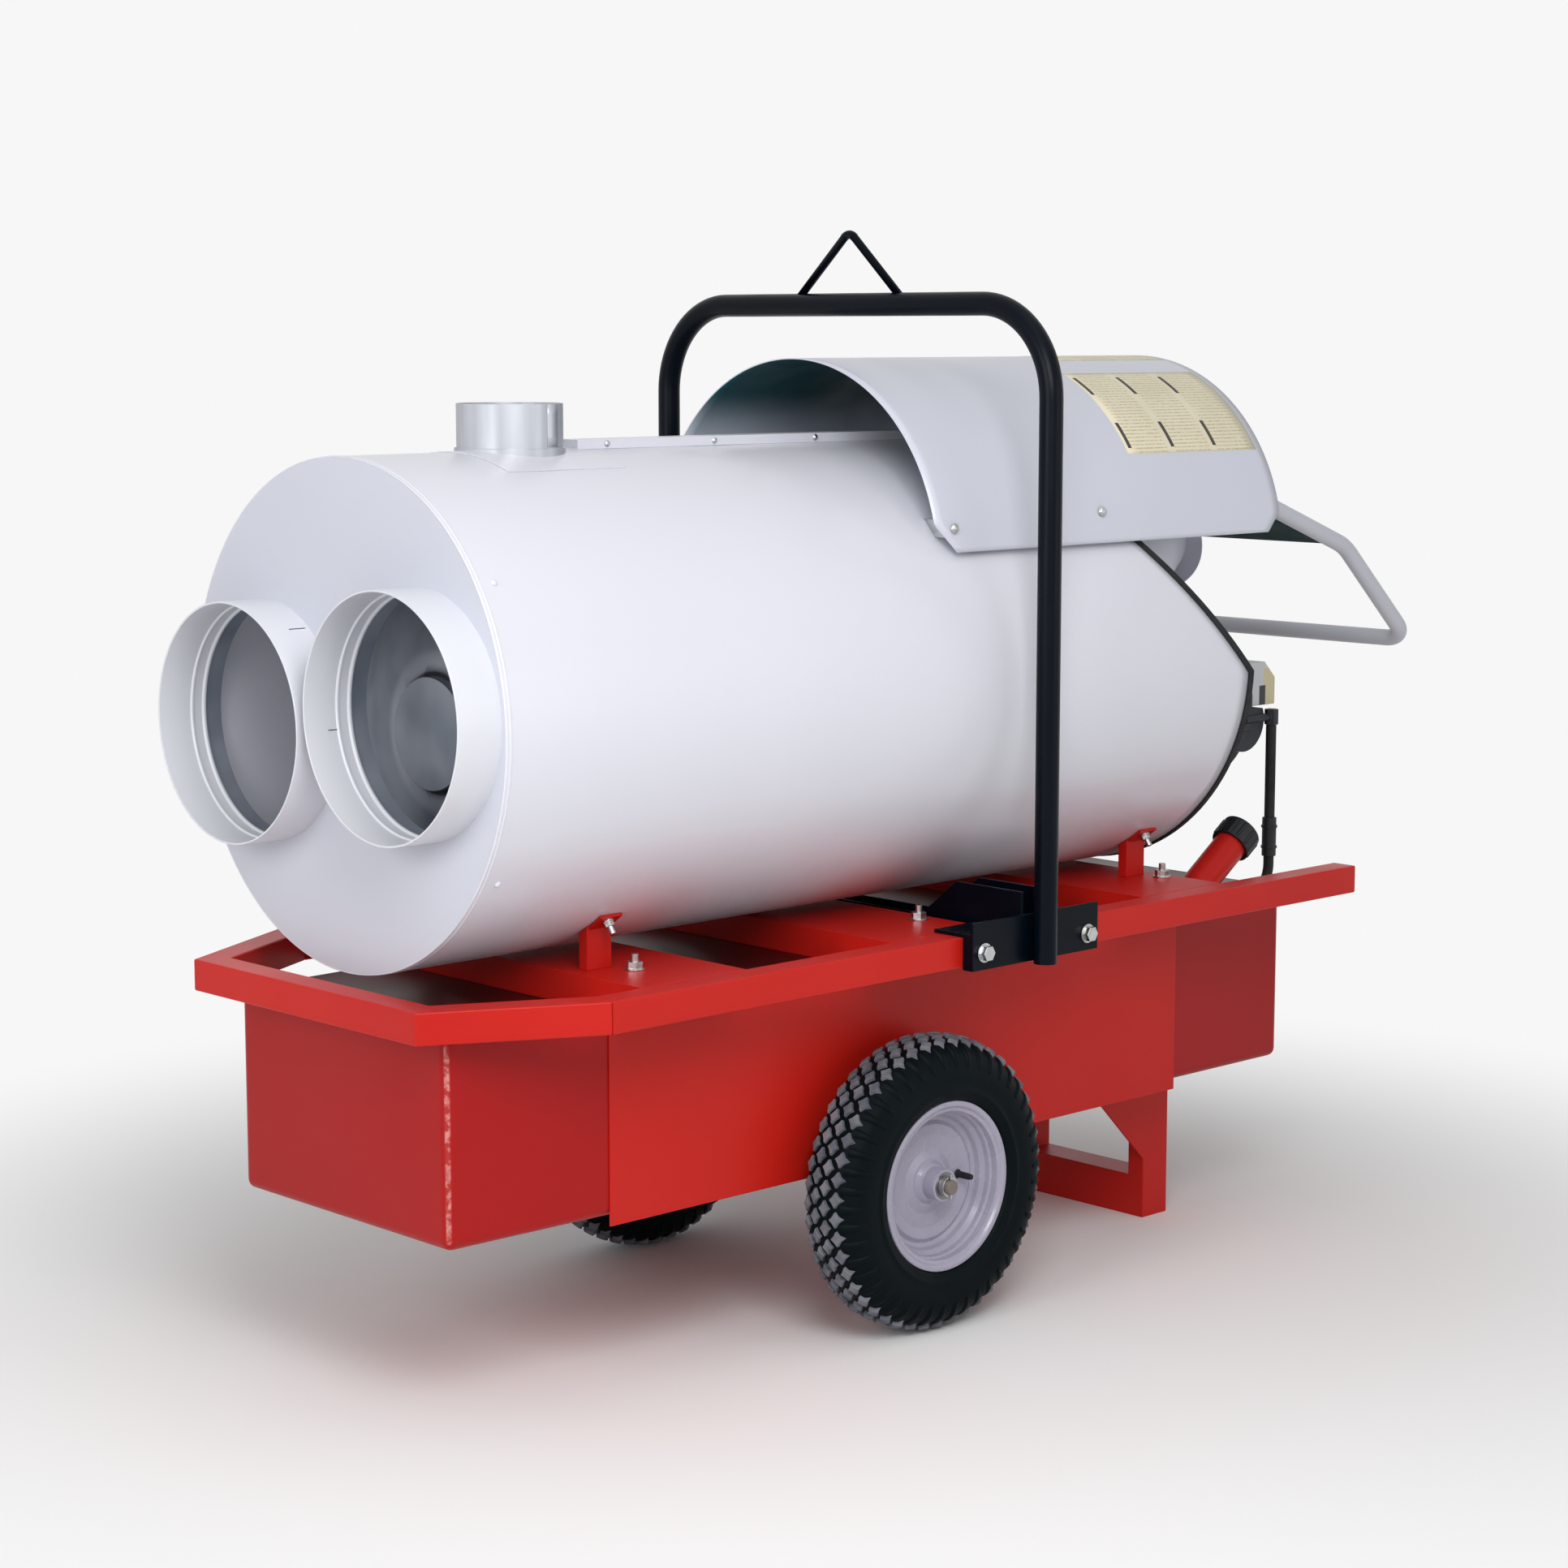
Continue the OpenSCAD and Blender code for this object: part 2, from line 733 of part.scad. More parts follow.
module lift_base()
    color([0.03, 0.04, 0.06]) {
        outline = concat(beam_half(-1), [for (i = [5 : -1 : 0]) beam_half(1)[i]]);
        for (x = [lift_x - beam_w / 2, lift_x + beam_w / 2 - plate_t])
            translate([x, 0, 0])
                rotate([90, 0, 90])
                    linear_extrude(plate_t)
                        polygon(outline);
        translate([lift_x - beam_w / 2, 2 - inner_y, beam_low])
            cube([beam_w, 2 * inner_y - 4, plate_t]);
        both_sides() {
            translate([lift_x - bracket_l / 2, inner_y - 12, rail_top])
                cube([bracket_l, bracket_y - inner_y + 12, plate_t]);
            difference() {
                translate([lift_x - bracket_l / 2, bracket_y - plate_t, rail_z - 3])
                    cube([bracket_l, plate_t, rail_size + 24]);
                for (s = [-1, 1])
                    along_y(lift_x + s * bracket_bolt, bracket_y - 2 * plate_t, rail_z + rail_size / 2)
                        cylinder(d = bolt_d + 2 * fit, h = 4 * plate_t);
            }
            for (s = [-1, 1])
                translate([lift_x + s * (bracket_l - plate_t) / 2 - plate_t / 2, rail_y, rail_z - 3])
                    cube([plate_t, bracket_depth, rail_size + 3]);
        }
    }

// Heater body
module body_shell()
    color([0.8, 0.81, 0.86])
        difference() {
            along_x(shell_x, 0, shell_z)
                tube(shell_d, sheet_t, shell_l);
            difference() {
                translate([shell_x, -shell_r - eps, slant_z])
                    cube([2 * shell_l, shell_d + 2 * eps, shell_d]);
                under_slant();
            }
            translate([chimney_x, 0, shell_z])
                cylinder(d = flue_d + 2, h = shell_d);
        }

// Local frame of one duct collar, Z pointing out of the front; side is -1 (near) or 1
module at_duct(side)
    translate([shell_x, 0, shell_z])
        rotate([-duct_tilt, 0, 0])
            translate([0, side * duct_pitch / 2, 0])
                rotate([0, -90, 0])
                    children();

module front_plate()
    color([0.78, 0.78, 0.83])
        difference() {
            along_x(shell_x, 0, shell_z)
                union() {
                    cylinder(r = shell_r - sheet_t, h = sheet_t);
                    tube(shell_d - 2 * sheet_t, sheet_t, 20);
                }
            for (side = [-1, 1])
                at_duct(side)
                    cylinder(d = duct_d - 2, h = 60, center = true);
        }

// A collar that seats on the plate, with a pressed bead and a narrow flange behind the plate
collar_t = 2.5;

module duct_collar(side)
    color([0.85, 0.86, 0.89])
        at_duct(side)
            rotate_extrude()
                union() {
                    translate([duct_d / 2 - collar_t, 0])
                        square([collar_t, duct_l]);
                    translate([duct_d / 2 - collar_t, -30])
                        square([collar_t - 1, 30 + eps]);
                    translate([duct_d / 2 - 6, -6])
                        square([5, 4]);
                    translate([duct_d / 2 - 2, -3 * sheet_t])
                        square([5, 2 * sheet_t]);
                }

module duct_collar_left()
    duct_collar(1);

module duct_collar_right()
    duct_collar(-1);

module rear_plate()
    color([0.78, 0.79, 0.84])
        difference() {
            along_x(rear_x - sheet_t, 0, shell_z)
                cylinder(r = shell_r - sheet_t, h = sheet_t);
            translate([rear_x - 50, -shell_r, slant_z])
                cube([100, shell_d, shell_d]);
            along_x(rear_x - 50, 0, burner_z)
                cylinder(d = blast_d + 2, h = 100);
        }

// Slanted plate between the shell's cut edges, with the round opening of the fan
module fan_deck()
    color([0.78, 0.79, 0.84])
        difference() {
            intersection() {
                along_x(shell_x, 0, shell_z)
                    cylinder(r = shell_r - sheet_t, h = shell_l);
                difference() {
                    under_slant();
                    under_slant(-sheet_t);
                }
                translate([shell_x, -shell_r, slant_z])
                    cube([shell_l, shell_d, shell_d]);
            }
            at_fan()
                cylinder(d = ring_d - 20, h = 100, center = true);
        }

module edge_trim()
    color([0.02, 0.03, 0.04])
        difference() {
            along_x(shell_x, 0, shell_z)
                cylinder(r = shell_r + trim_t, h = shell_l + trim_t);
            along_x(shell_x - eps, 0, shell_z)
                cylinder(r = shell_r, h = shell_l + 20);
            difference() {
                translate([shell_x, -shell_d, slant_z - trim_w])
                    cube([2 * shell_l, 2 * shell_d, shell_d]);
                under_slant(trim_t);
            }
            intersection() {
                translate([shell_x - eps, -shell_d, shell_z - shell_d])
                    cube([shell_l - trim_w, 2 * shell_d, 2 * shell_d]);
                under_slant(-trim_w);
            }
        }

seam_x = chimney_x + saddle_flange_l / 2 + fit;
seam_end = rear_x - slant_rise - 20;
seam_pitch = 188;

module top_seam()
    color([0.82, 0.83, 0.87])
        difference() {
            translate([seam_x, -seam_w / 2, crest_z - 10])
                cube([seam_end - seam_x, seam_w, seam_h + 10]);
            along_x(seam_x - eps, 0, shell_z)
                cylinder(r = shell_r, h = seam_end - seam_x + 2 * eps);
        }

module chimney_collar()
    color([0.84, 0.85, 0.88])
        difference() {
            union() {
                translate([chimney_x, 0, shell_z])
                    cylinder(d = chimney_d, h = shell_r + chimney_h);
                translate([chimney_x, 0, shell_z])
                    cylinder(d = chimney_d + 6, h = shell_r + 4);
                along_x(chimney_x - saddle_flange_l / 2, 0, shell_z)
                    rotate([0, 0, 180 - saddle_flange_a])
                        rotate_extrude(angle = 2 * saddle_flange_a)
                            translate([shell_r - 2, 0])
                                square([2 + sheet_t, saddle_flange_l]);
            }
            along_x(shell_x, 0, shell_z)
                cylinder(r = shell_r, h = shell_l);
            translate([chimney_x, 0, shell_z])
                cylinder(d = chimney_d - 2 * sheet_t, h = shell_d);
        }

// Heat exchanger drum with its domed front, rear head, flue branch and feet
module drum_solid(inset) {
    along_x(drum_x, 0, drum_z)
        cylinder(r = drum_r - inset, h = drum_l - inset);
    intersection() {
        translate([drum_x - dome_h + dome_r, 0, drum_z])
            sphere(r = dome_r - inset, $fn = 128);
        along_x(drum_x - dome_h, 0, drum_z)
            cylinder(r = drum_r - inset, h = dome_h + eps);
    }
}

module heat_exchanger()
    color([0.45, 0.46, 0.47])
        difference() {
            union() {
                drum_solid(0);
                along_x(drum_x - dome_h - 6, 0, drum_z)
                    cylinder(d = disc_d, h = 30);
                for (x = [drum_x + 120, drum_x + drum_l - 160])
                    intersection() {
                        translate([x, -drum_r / 2, shell_z - shell_r])
                            cube([4, drum_r, drum_r]);
                        along_x(x - eps, 0, shell_z)
                            cylinder(r = shell_r - sheet_t - fit, h = 10);
                    }
                translate([chimney_x, 0, drum_z])
                    cylinder(d = flue_d, h = crest_z + 20 - drum_z);
            }
            drum_solid(drum_t);
            translate([chimney_x, 0, drum_z])
                cylinder(d = flue_d - 2 * drum_t, h = shell_d);
            along_x(drum_x + drum_l - 50, 0, burner_z)
                cylinder(d = throat_d + 2 * fit, h = 100);
        }

module combustion_chamber()
    color([0.4, 0.38, 0.36])
        difference() {
            union() {
                along_x(chamber_x, 0, burner_z)
                    cylinder(d = chamber_d, h = chamber_l);
                along_x(chamber_x, 0, burner_z)
                    cylinder(d = throat_d, h = rear_x - sheet_t - chamber_x);
            }
            along_x(chamber_x + drum_t, 0, burner_z)
                cylinder(d = chamber_d - 2 * drum_t, h = chamber_l - 2 * drum_t);
            along_x(chamber_x + chamber_l / 2, 0, burner_z)
                cylinder(d = throat_d - 2 * drum_t, h = shell_l);
            translate([chamber_x + 40, 0, burner_z])
                cylinder(d = 110, h = chamber_d);
        }

// Fan: ring on the slanted deck, motor outside the blades, shaft towards the deck
blade_z = 44;
motor_z = 76;

module fan_ring()
    color([0.76, 0.77, 0.8])
        at_fan()
            rotate_extrude()
                union() {
                    translate([ring_d / 2 - 2, 0])
                        square([2, ring_h]);
                    translate([ring_d / 2 - 2, 0])
                        square([14, 2]);
                    translate([ring_d / 2 - 2, ring_h - 2])
                        square([28, 2]);
                }

module fan_guard()
    color([0.3, 0.31, 0.33])
        at_fan()
            translate([0, 0, ring_h + 2]) {
                for (r = [fan_motor_d / 2 + 8 : 24 : ring_d / 2 - 6])
                    rotate_extrude()
                        translate([r, 0])
                            circle(d = 4, $fn = 16);
                for (i = [0 : 5])
                    rotate([0, 0, i * 60 + 30])
                        translate([fan_motor_d / 2 + 6, 0, -3])
                            rotate([0, 90, 0])
                                cylinder(d = 4, h = (ring_d - fan_motor_d) / 2 - 8.2, $fn = 16);
            }

module fan_motor()
    color([0.12, 0.13, 0.15])
        at_fan()
            difference() {
                union() {
                    translate([0, 0, motor_z])
                        cylinder(d = fan_motor_d, h = fan_motor_l);
                    translate([0, 0, motor_z - 6])
                        cylinder(d = 50, h = fan_motor_l + 10);
                }
                translate([0, 0, motor_z - 10])
                    cylinder(d = fan_shaft_d + 2 * run, h = 70);
            }

// Three flat arms from the ring to a band round the motor
module motor_mount()
    color([0.2, 0.21, 0.23])
        at_fan()
            difference() {
                union() {
                    translate([0, 0, motor_z + 20])
                        cylinder(d = fan_motor_d + 8, h = 30);
                    for (i = [0 : 2])
                        rotate([0, 0, i * 120 + 90])
                            translate([fan_motor_d / 2 + 2, -3, motor_z + 23])
                                cube([(ring_d - fan_motor_d) / 2 - 4.2, 6, 24]);
                }
                translate([0, 0, motor_z])
                    cylinder(d = fan_motor_d, h = fan_motor_l);
            }

module fan_shaft()
    color([0.7, 0.7, 0.72])
        at_fan()
            translate([0, 0, blade_z - 24])
                cylinder(d = fan_shaft_d, h = motor_z + 40 - blade_z + 24);

module fan_blades()
    color([0.62, 0.63, 0.65])
        at_fan()
            translate([0, 0, blade_z])
                difference() {
                    union() {
                        translate([0, 0, -18])
                            cylinder(d = hub_d, h = 36);
                        intersection() {
                            for (i = [0 : 4])
                                rotate([0, 0, i * 72])
                                    rotate([blade_a, 0, 0])
                                        translate([0, -45, -1.5])
                                            cube([fan_d, 90, 3]);
                            cylinder(d = fan_d, h = 60, center = true);
                        }
                    }
                    translate([0, 0, -40])
                        cylinder(d = fan_shaft_d, h = 80);
                }

// Hood: a half round cowl, open at both ends, with cut lower corners
module hood()
    color([0.78, 0.78, 0.83])
        difference() {
            along_x(hood_x, 0, hood_z)
                tube(hood_d, sheet_t, hood_l);
            translate([hood_x - eps, -hood_d, hood_z - hood_d])
                cube([hood_l + 2 * eps, 2 * hood_d, hood_d + hood_edge]);
            translate([hood_x, 0, hood_z + hood_edge])
                rotate([0, 45, 0])
                    cube([hood_cut * sqrt(2), 2 * hood_d, hood_cut * sqrt(2)], center = true);
            translate([hood_x + hood_l, 0, hood_z + hood_edge])
                rotate([0, 45, 0])
                    cube([rear_cut * sqrt(2), 2 * hood_d, rear_cut * sqrt(2)], center = true);
            both_sides() {
                along_y(clip_x, hood_r / 2, hood_z + clip_rise)
                    cylinder(d = 8 + 2 * fit, h = hood_r);
                along_y(rear_clip_x, hood_r / 2, handle_z)
                    cylinder(d = 8 + 2 * fit, h = hood_r);
            }
        }

// Sheet between the two arms of the handle, from the hood down to the bend of the arms
module tail_sheet()
    color([0.2, 0.24, 0.26])
        translate([bend_x, 0, handle_z])
            rotate([0, handle_a1, 0])
                translate([22, handle_r + fit - handle_y, -sheet_t])
                    cube([handle_l1 - 34, 2 * (handle_y - handle_r - fit), sheet_t]);

// Blocks that hold the hood and the handle off the shell
module hood_clips()
    color([0.72, 0.72, 0.76])
        both_sides()
            difference() {
                intersection() {
                    union() {
                        translate([clip_x - 12, shell_r / 2, hood_z + clip_rise - 12])
                            cube([24, shell_r, 24]);
                        translate([rear_clip_x - 16, shell_r / 2, handle_z - 12])
                            cube([32, handle_y - 2 - shell_r / 2, 24]);
                    }
                    along_x(hood_x, 0, hood_z)
                        cylinder(r = hood_in, h = hood_l);
                }
                along_x(hood_x - eps, 0, shell_z)
                    cylinder(r = shell_r, h = hood_l);
                along_x(handle_x - eps, handle_y, handle_z)
                    cylinder(d = handle_d, h = 300);
                along_y(clip_x, hood_in - 40, hood_z + clip_rise)
                    cylinder(d = 8 + 2 * fit, h = 60);
                along_y(rear_clip_x, hood_in - 60, handle_z)
                    cylinder(d = 8 + 2 * fit, h = 60);
            }

// A straight length of the handle tube along +X, its ends pushed a little into the bends
module straight(l)
    translate([-bend_in, 0, 0])
        rotate([0, 90, 0])
            cylinder(d = handle_d - 0.6, h = l + 2 * bend_in);

// A bend of the handle tube, starting at the origin along +X and turning down by the angle a
module bend_down(a)
    translate([0, 0, -bend_r])
        rotate([90, 0, 0])
            rotate([0, 0, 90 - a])
                rotate_extrude(angle = a)
                    translate([bend_r, 0])
                        circle(d = handle_d);

// One arm of the handle with its three bends
module handle_arm() {
    translate([handle_x, handle_y, handle_z])
        straight(bend_x - bend_t1 - handle_x);
    translate([bend_x - bend_t1, handle_y, handle_z])
        bend_down(handle_a1);
    translate([bend_x, handle_y, handle_z])
        rotate([0, handle_a1, 0])
            translate([bend_t1, 0, 0]) {
                straight(handle_l1 - bend_t1 - bend_t2);
                translate([handle_l1 - bend_t1 - bend_t2, 0, 0])
                    bend_down(handle_a2 - handle_a1);
            }
    translate([mid_x, handle_y, mid_z])
        rotate([0, handle_a2, 0]) {
            translate([bend_t2, 0, 0])
                straight(handle_l2 - bend_t2 - handle_bend_r);
            translate([handle_l2 - handle_bend_r, -handle_bend_r, 0])
                rotate_extrude(angle = 90)
                    translate([handle_bend_r, 0])
                        circle(d = handle_d);
        }
}

module handle()
    color([0.62, 0.62, 0.65])
        difference() {
            union() {
                both_sides()
                    handle_arm();
                bar_x = mid_x + handle_l2 * cos(handle_a2);
                bar_z = mid_z - handle_l2 * sin(handle_a2);
                bar_y = handle_y - handle_bend_r + bend_in;
                along_y(bar_x, -bar_y, bar_z)
                    cylinder(d = handle_d - 0.6, h = 2 * bar_y);
            }
            both_sides()
                along_y(rear_clip_x, hood_r / 2, handle_z)
                    cylinder(d = 8 + 2 * fit, h = hood_r);
        }

// A round-headed screw with its shank pointing down
module pan_screw(d, shank) {
    intersection() {
        translate([0, 0, -0.35 * d])
            sphere(d = 2 * d, $fn = 32);
        cylinder(d = 2 * d, h = d);
    }
    translate([0, 0, -shank])
        cylinder(d = d, h = shank + 0.1);
}

module body_screws()
    color([0.75, 0.75, 0.78]) {
        both_sides() {
            along_y(clip_x, sqrt(pow(hood_r, 2) - pow(clip_rise, 2)) + 2.2, hood_z + clip_rise)
                pan_screw(8, 20);
            along_y(rear_clip_x, sqrt(pow(hood_r, 2) - pow(handle_rise, 2)) + 2.2, handle_z)
                pan_screw(8, 20);
        }
        for (i = [0 : 2])
            translate([chimney_x + 145 + i * seam_pitch, -seam_w / 2, crest_z + seam_h / 2])
                rotate([90, 0, 0])
                    pan_screw(5, 0);
        for (a = [-56, 56, 124, 236])
            along_x(shell_x + 28, 0, shell_z)
                rotate([0, 0, a])
                    translate([shell_r, 0, 0])
                        rotate([0, 90, 0])
                            pan_screw(5, 0);
    }

// Burner
module blast_tube()
    color([0.55, 0.55, 0.57]) {
        along_x(rear_x - 150, 0, burner_z)
            tube(blast_d, 2, 180);
        difference() {
            translate([rear_x, -flange_w / 2, burner_z - flange_w / 2])
                cube([8, flange_w, flange_w]);
            along_x(rear_x - eps, 0, burner_z)
                cylinder(d = blast_d, h = 10);
        }
    }

// Fuel pipe, nozzle and electrodes in the middle of the blast tube
module nozzle_assembly()
    color([0.7, 0.6, 0.35]) {
        along_x(rear_x - 130, 0, burner_z) {
            cylinder(d = 12, h = 170);
            cylinder(d = 24, h = 30);
            translate([0, 0, 40])
                tube(blast_d - 4 - 2 * fit, 3, 12);
            for (i = [0 : 2])
                rotate([0, 0, i * 120])
                    translate([5, -2, 40])
                        cube([blast_d / 2 - 9, 4, 12]);
        }
    }

// Three windows of a little under 60 degrees round the shaft hole
module inlet_windows(h) {
    cylinder(d = 24, h = h);
    for (a = [0 : 120 : 240])
        rotate([0, 0, a])
            intersection() {
                difference() {
                    cylinder(d = 96, h = h);
                    translate([0, 0, -eps])
                        cylinder(d = 44, h = h + 2 * eps);
                }
                linear_extrude(h)
                    polygon([[0, 0], [80, 0], [80 * cos(56), 80 * sin(56)]]);
            }
}

module blower_housing()
    color([0.03, 0.03, 0.04])
        difference() {
            union() {
                along_y(burner_x, -scroll_y, burner_z)
                    cylinder(d = scroll_d, h = scroll_w);
                translate([rear_x + 8, -60, burner_z - 66])
                    cube([blower_x - 8, 120, 132]);
            }
            along_y(burner_x, 3 - scroll_y, burner_z)
                cylinder(d = scroll_d - 6, h = scroll_w - 6);
            translate([rear_x, -57, burner_z - 63])
                cube([blower_x, 114, 126]);
            along_y(burner_x, -scroll_y - eps, burner_z)
                inlet_windows(10);
            along_y(burner_x, scroll_w - scroll_y - 10, burner_z)
                cylinder(d = blower_shaft_d + 2, h = 20);
        }

module blower_wheel()
    color([0.6, 0.6, 0.62])
        along_y(burner_x, 0, burner_z) {
            translate([0, 0, -48])
                tube(blower_d, 14, 90);
            translate([0, 0, 36])
                cylinder(d = blower_d, h = 4);
            translate([0, 0, -pump_y - 20])
                cylinder(d = blower_shaft_d, h = pump_y + 20 + scroll_w - scroll_y + 40);
        }

module burner_motor()
    color([0.05, 0.05, 0.06])
        difference() {
            along_y(burner_x, scroll_w - scroll_y, burner_z) {
                cylinder(d = burner_motor_d, h = burner_motor_l);
                cylinder(d = burner_motor_d + 16, h = 6);
                translate([0, 0, burner_motor_l])
                    cylinder(d = 50, h = 6);
            }
            along_y(burner_x, scroll_w - scroll_y - eps, burner_z)
                cylinder(d = blower_shaft_d + 2 * run, h = 50);
        }

// The pump and the spider that carries it in the air inlet
module fuel_pump()
    color([0.55, 0.56, 0.58])
        difference() {
            union() {
                translate([burner_x - pump_w / 2, -pump_y - pump_l, burner_z - pump_w / 2])
                    cube([pump_w, pump_l, pump_w]);
                difference() {
                    along_y(burner_x + 12, -pump_y - pump_l + 2, burner_z - 12)
                        cylinder(d = 1.7 * pump_w, h = pump_l - 4);
                    translate([control_x - 2, -pump_y - pump_l - eps, control_z - 3])
                        cube([pump_w, pump_l + 2 * eps, pump_w]);
                }
                for (a = [30, 150, 270])
                    along_y(burner_x, -pump_y - 6, burner_z)
                        rotate([0, 0, a])
                            translate([0, -6, 0])
                                cube([shutter_d / 2 + 16, 12, 6]);
                for (a = [30, 150, 270])
                    along_y(burner_x, -pump_y - 5, burner_z)
                        rotate([0, 0, a])
                            translate([shutter_d / 2 + 4, -5, 0])
                                cube([11, 10, pump_y + 5 - scroll_y]);
                along_x(burner_x, -hose_y, burner_z - 10)
                    cylinder(d = 12, h = hose_x - burner_x);
                translate([hose_x, -hose_y, hose_top])
                    cylinder(d = hose_d + 6, h = 24, $fn = 6);
                translate([burner_x, -hose_y, burner_z - 10])
                    sphere(d = 20);
            }
            along_y(burner_x, -pump_y - 24, burner_z)
                cylinder(d = blower_shaft_d + 2 * run, h = 60);
        }

// Grey housing of the flame control, with a bevelled top edge
control_x = burner_x + 32;
control_z = burner_z + 8;
control_y = scroll_y + 6;

module burner_control()
    color([0.74, 0.75, 0.78])
        difference() {
            union() {
                translate([control_x, -control_y, control_z])
                    rotate([90, 0, 0])
                        linear_extrude(44)
                            polygon([[0, 0], [63, 0], [63, 42], [38, 67], [0, 67]]);
                translate([control_x + 45, -control_y, control_z + 10])
                    cube([18, control_y - scroll_y, 24]);
            }
            along_x(control_x + 50, -control_y - 30, control_z + 20)
                cylinder(d = 12 + 2 * fit, h = 20);
        }

module reset_button()
    color([0.75, 0.1, 0.08])
        along_x(control_x + 50 + reset_travel + fit, -control_y - 30, control_z + 20)
            cylinder(d = 12, h = 18);

// A plate with the same three windows, turned by its tab
module air_shutter()
    color([0.08, 0.08, 0.1])
        along_y(burner_x, -scroll_y - fit - 4, burner_z)
            difference() {
                union() {
                    cylinder(d = shutter_d, h = 4);
                    rotate([0, 0, 30])
                        translate([-6, -shutter_d / 2 - 7, 0])
                            cube([12, 10, 4]);
                }
                translate([0, 0, -eps])
                    inlet_windows(10);
            }

// Controls on the rear plate, on the far side of the burner
box_y = flange_w / 2 + 15;
box_z = slant_z - 14 - box_h;
knob_y = box_y + box_w / 2;
knob_z = box_z + box_h * 0.68;
switch_z = box_z + box_h * 0.28;
switch_w = 26;

module control_box()
    color([0.55, 0.56, 0.6]) {
        difference() {
            union() {
                translate([rear_x, box_y, box_z])
                    cube([box_depth, box_w, box_h]);
                translate([rear_x + box_depth / 2, box_y + box_w / 3, box_z - 12])
                    cylinder(d = 32, h = 12);
                translate([rear_x + box_depth / 2, box_y + box_w * 0.72, box_z - 9])
                    cylinder(d = 22, h = 9);
            }
            translate([rear_x + 2, box_y + 2, box_z + 2])
                cube([box_depth - 4, box_w - 4, box_h - 4]);
            along_x(rear_x + box_depth - 10, knob_y, knob_z)
                cylinder(d = 8 + 2 * run, h = 20);
            translate([rear_x + box_depth - 10, knob_y - switch_w / 2 - run, switch_z - 10])
                cube([20, switch_w + 2 * run, 20]);
        }
        for (s = [0, 1])
            translate([rear_x + box_depth - 11, knob_y - switch_w / 2 - run - 3
                + s * (switch_w + 2 * run + 3), switch_z - 8])
                cube([10, 3, 16]);
        along_y(rear_x + box_depth - 6, knob_y - switch_w / 2 - run - 1, switch_z)
            cylinder(d = 3, h = switch_w + 2 * run + 2);
    }

module thermostat_knob()
    color([0.05, 0.05, 0.06])
        along_x(rear_x + box_depth, knob_y, knob_z) {
            translate([0, 0, fit])
                cylinder(d = knob_d, h = 14);
            translate([0, 0, -12])
                cylinder(d = 8, h = 14);
            translate([-knob_d / 2 + 2, -2.5, 13])
                cube([knob_d - 4, 5, 6]);
        }

// A rocker with a shallow V front on a pin, drawn in its off position
module power_switch()
    color([0.75, 0.1, 0.08])
        translate([rear_x + box_depth - 6, knob_y + switch_w / 2, switch_z])
            rotate([90, 0, 0])
                rotate([0, 0, -7])
                    difference() {
                        linear_extrude(switch_w)
                            polygon([[-6, -6], [-6, 6], [4, 8.5], [9, 8.5], [6.5, 0], [9, -8.5],
                                [4, -8.5]]);
                        translate([0, 0, -eps])
                            cylinder(d = 3 + 2 * run, h = switch_w + 2 * eps);
                    }

// Running gear
module axle()
    color([0.68, 0.12, 0.1])
        difference() {
            union() {
                translate([axle_x - axle_beam / 2, -tank_w / 2 - panel_t, axle_z - axle_beam / 2])
                    cube([axle_beam, tank_w + 2 * panel_t, axle_beam]);
                along_y(axle_x, -spindle_end, axle_z)
                    cylinder(d = spindle_d, h = 2 * spindle_end);
            }
            for (s = [-1, 1])
                translate([axle_x, s * (spindle_end - 4), axle_z])
                    cylinder(d = 3 + 2 * run, h = 2 * spindle_d, center = true);
        }

// Tyre section: bead, sidewall, shoulder and crown, on one side of its middle
function tyre_half(s) = [
    [bead_d / 2 + fit, s * (rim_y - 4)],
    [rim_d / 2 + 2, s * (rim_y - 3.5)],
    [rim_d / 2 + 8, s * (tyre_w / 2 - 3)],
    [(tyre_d + rim_d) / 4 + 4, s * tyre_w / 2],
    [tyre_d / 2 - 26, s * (tyre_w / 2 - 4)],
    [tyre_d / 2 - 13, s * (tyre_w / 2 - 12)],
    [tyre_d / 2 - 5, s * tyre_w * 0.28],
    [tyre_d / 2 - 1, s * tyre_w * 0.13]];
function bead_half(s) = [
    [bead_d / 2 + fit, s * (rim_y - 20)],
    [bead_d / 2 + 12, s * (rim_y - 14)],
    [(tyre_d + rim_d) / 4 + 4, s * (tyre_w / 2 - 8)],
    [tyre_d / 2 - 22, s * tyre_w * 0.3]];
function back(list) = [for (i = [len(list) - 1 : -1 : 0]) list[i]];

module tyre()
    rotate_extrude()
        polygon(concat(tyre_half(-1), [[tyre_d / 2, 0]], back(tyre_half(1)), bead_half(1),
            [[tyre_d / 2 - 17, 0]], back(bead_half(-1))));

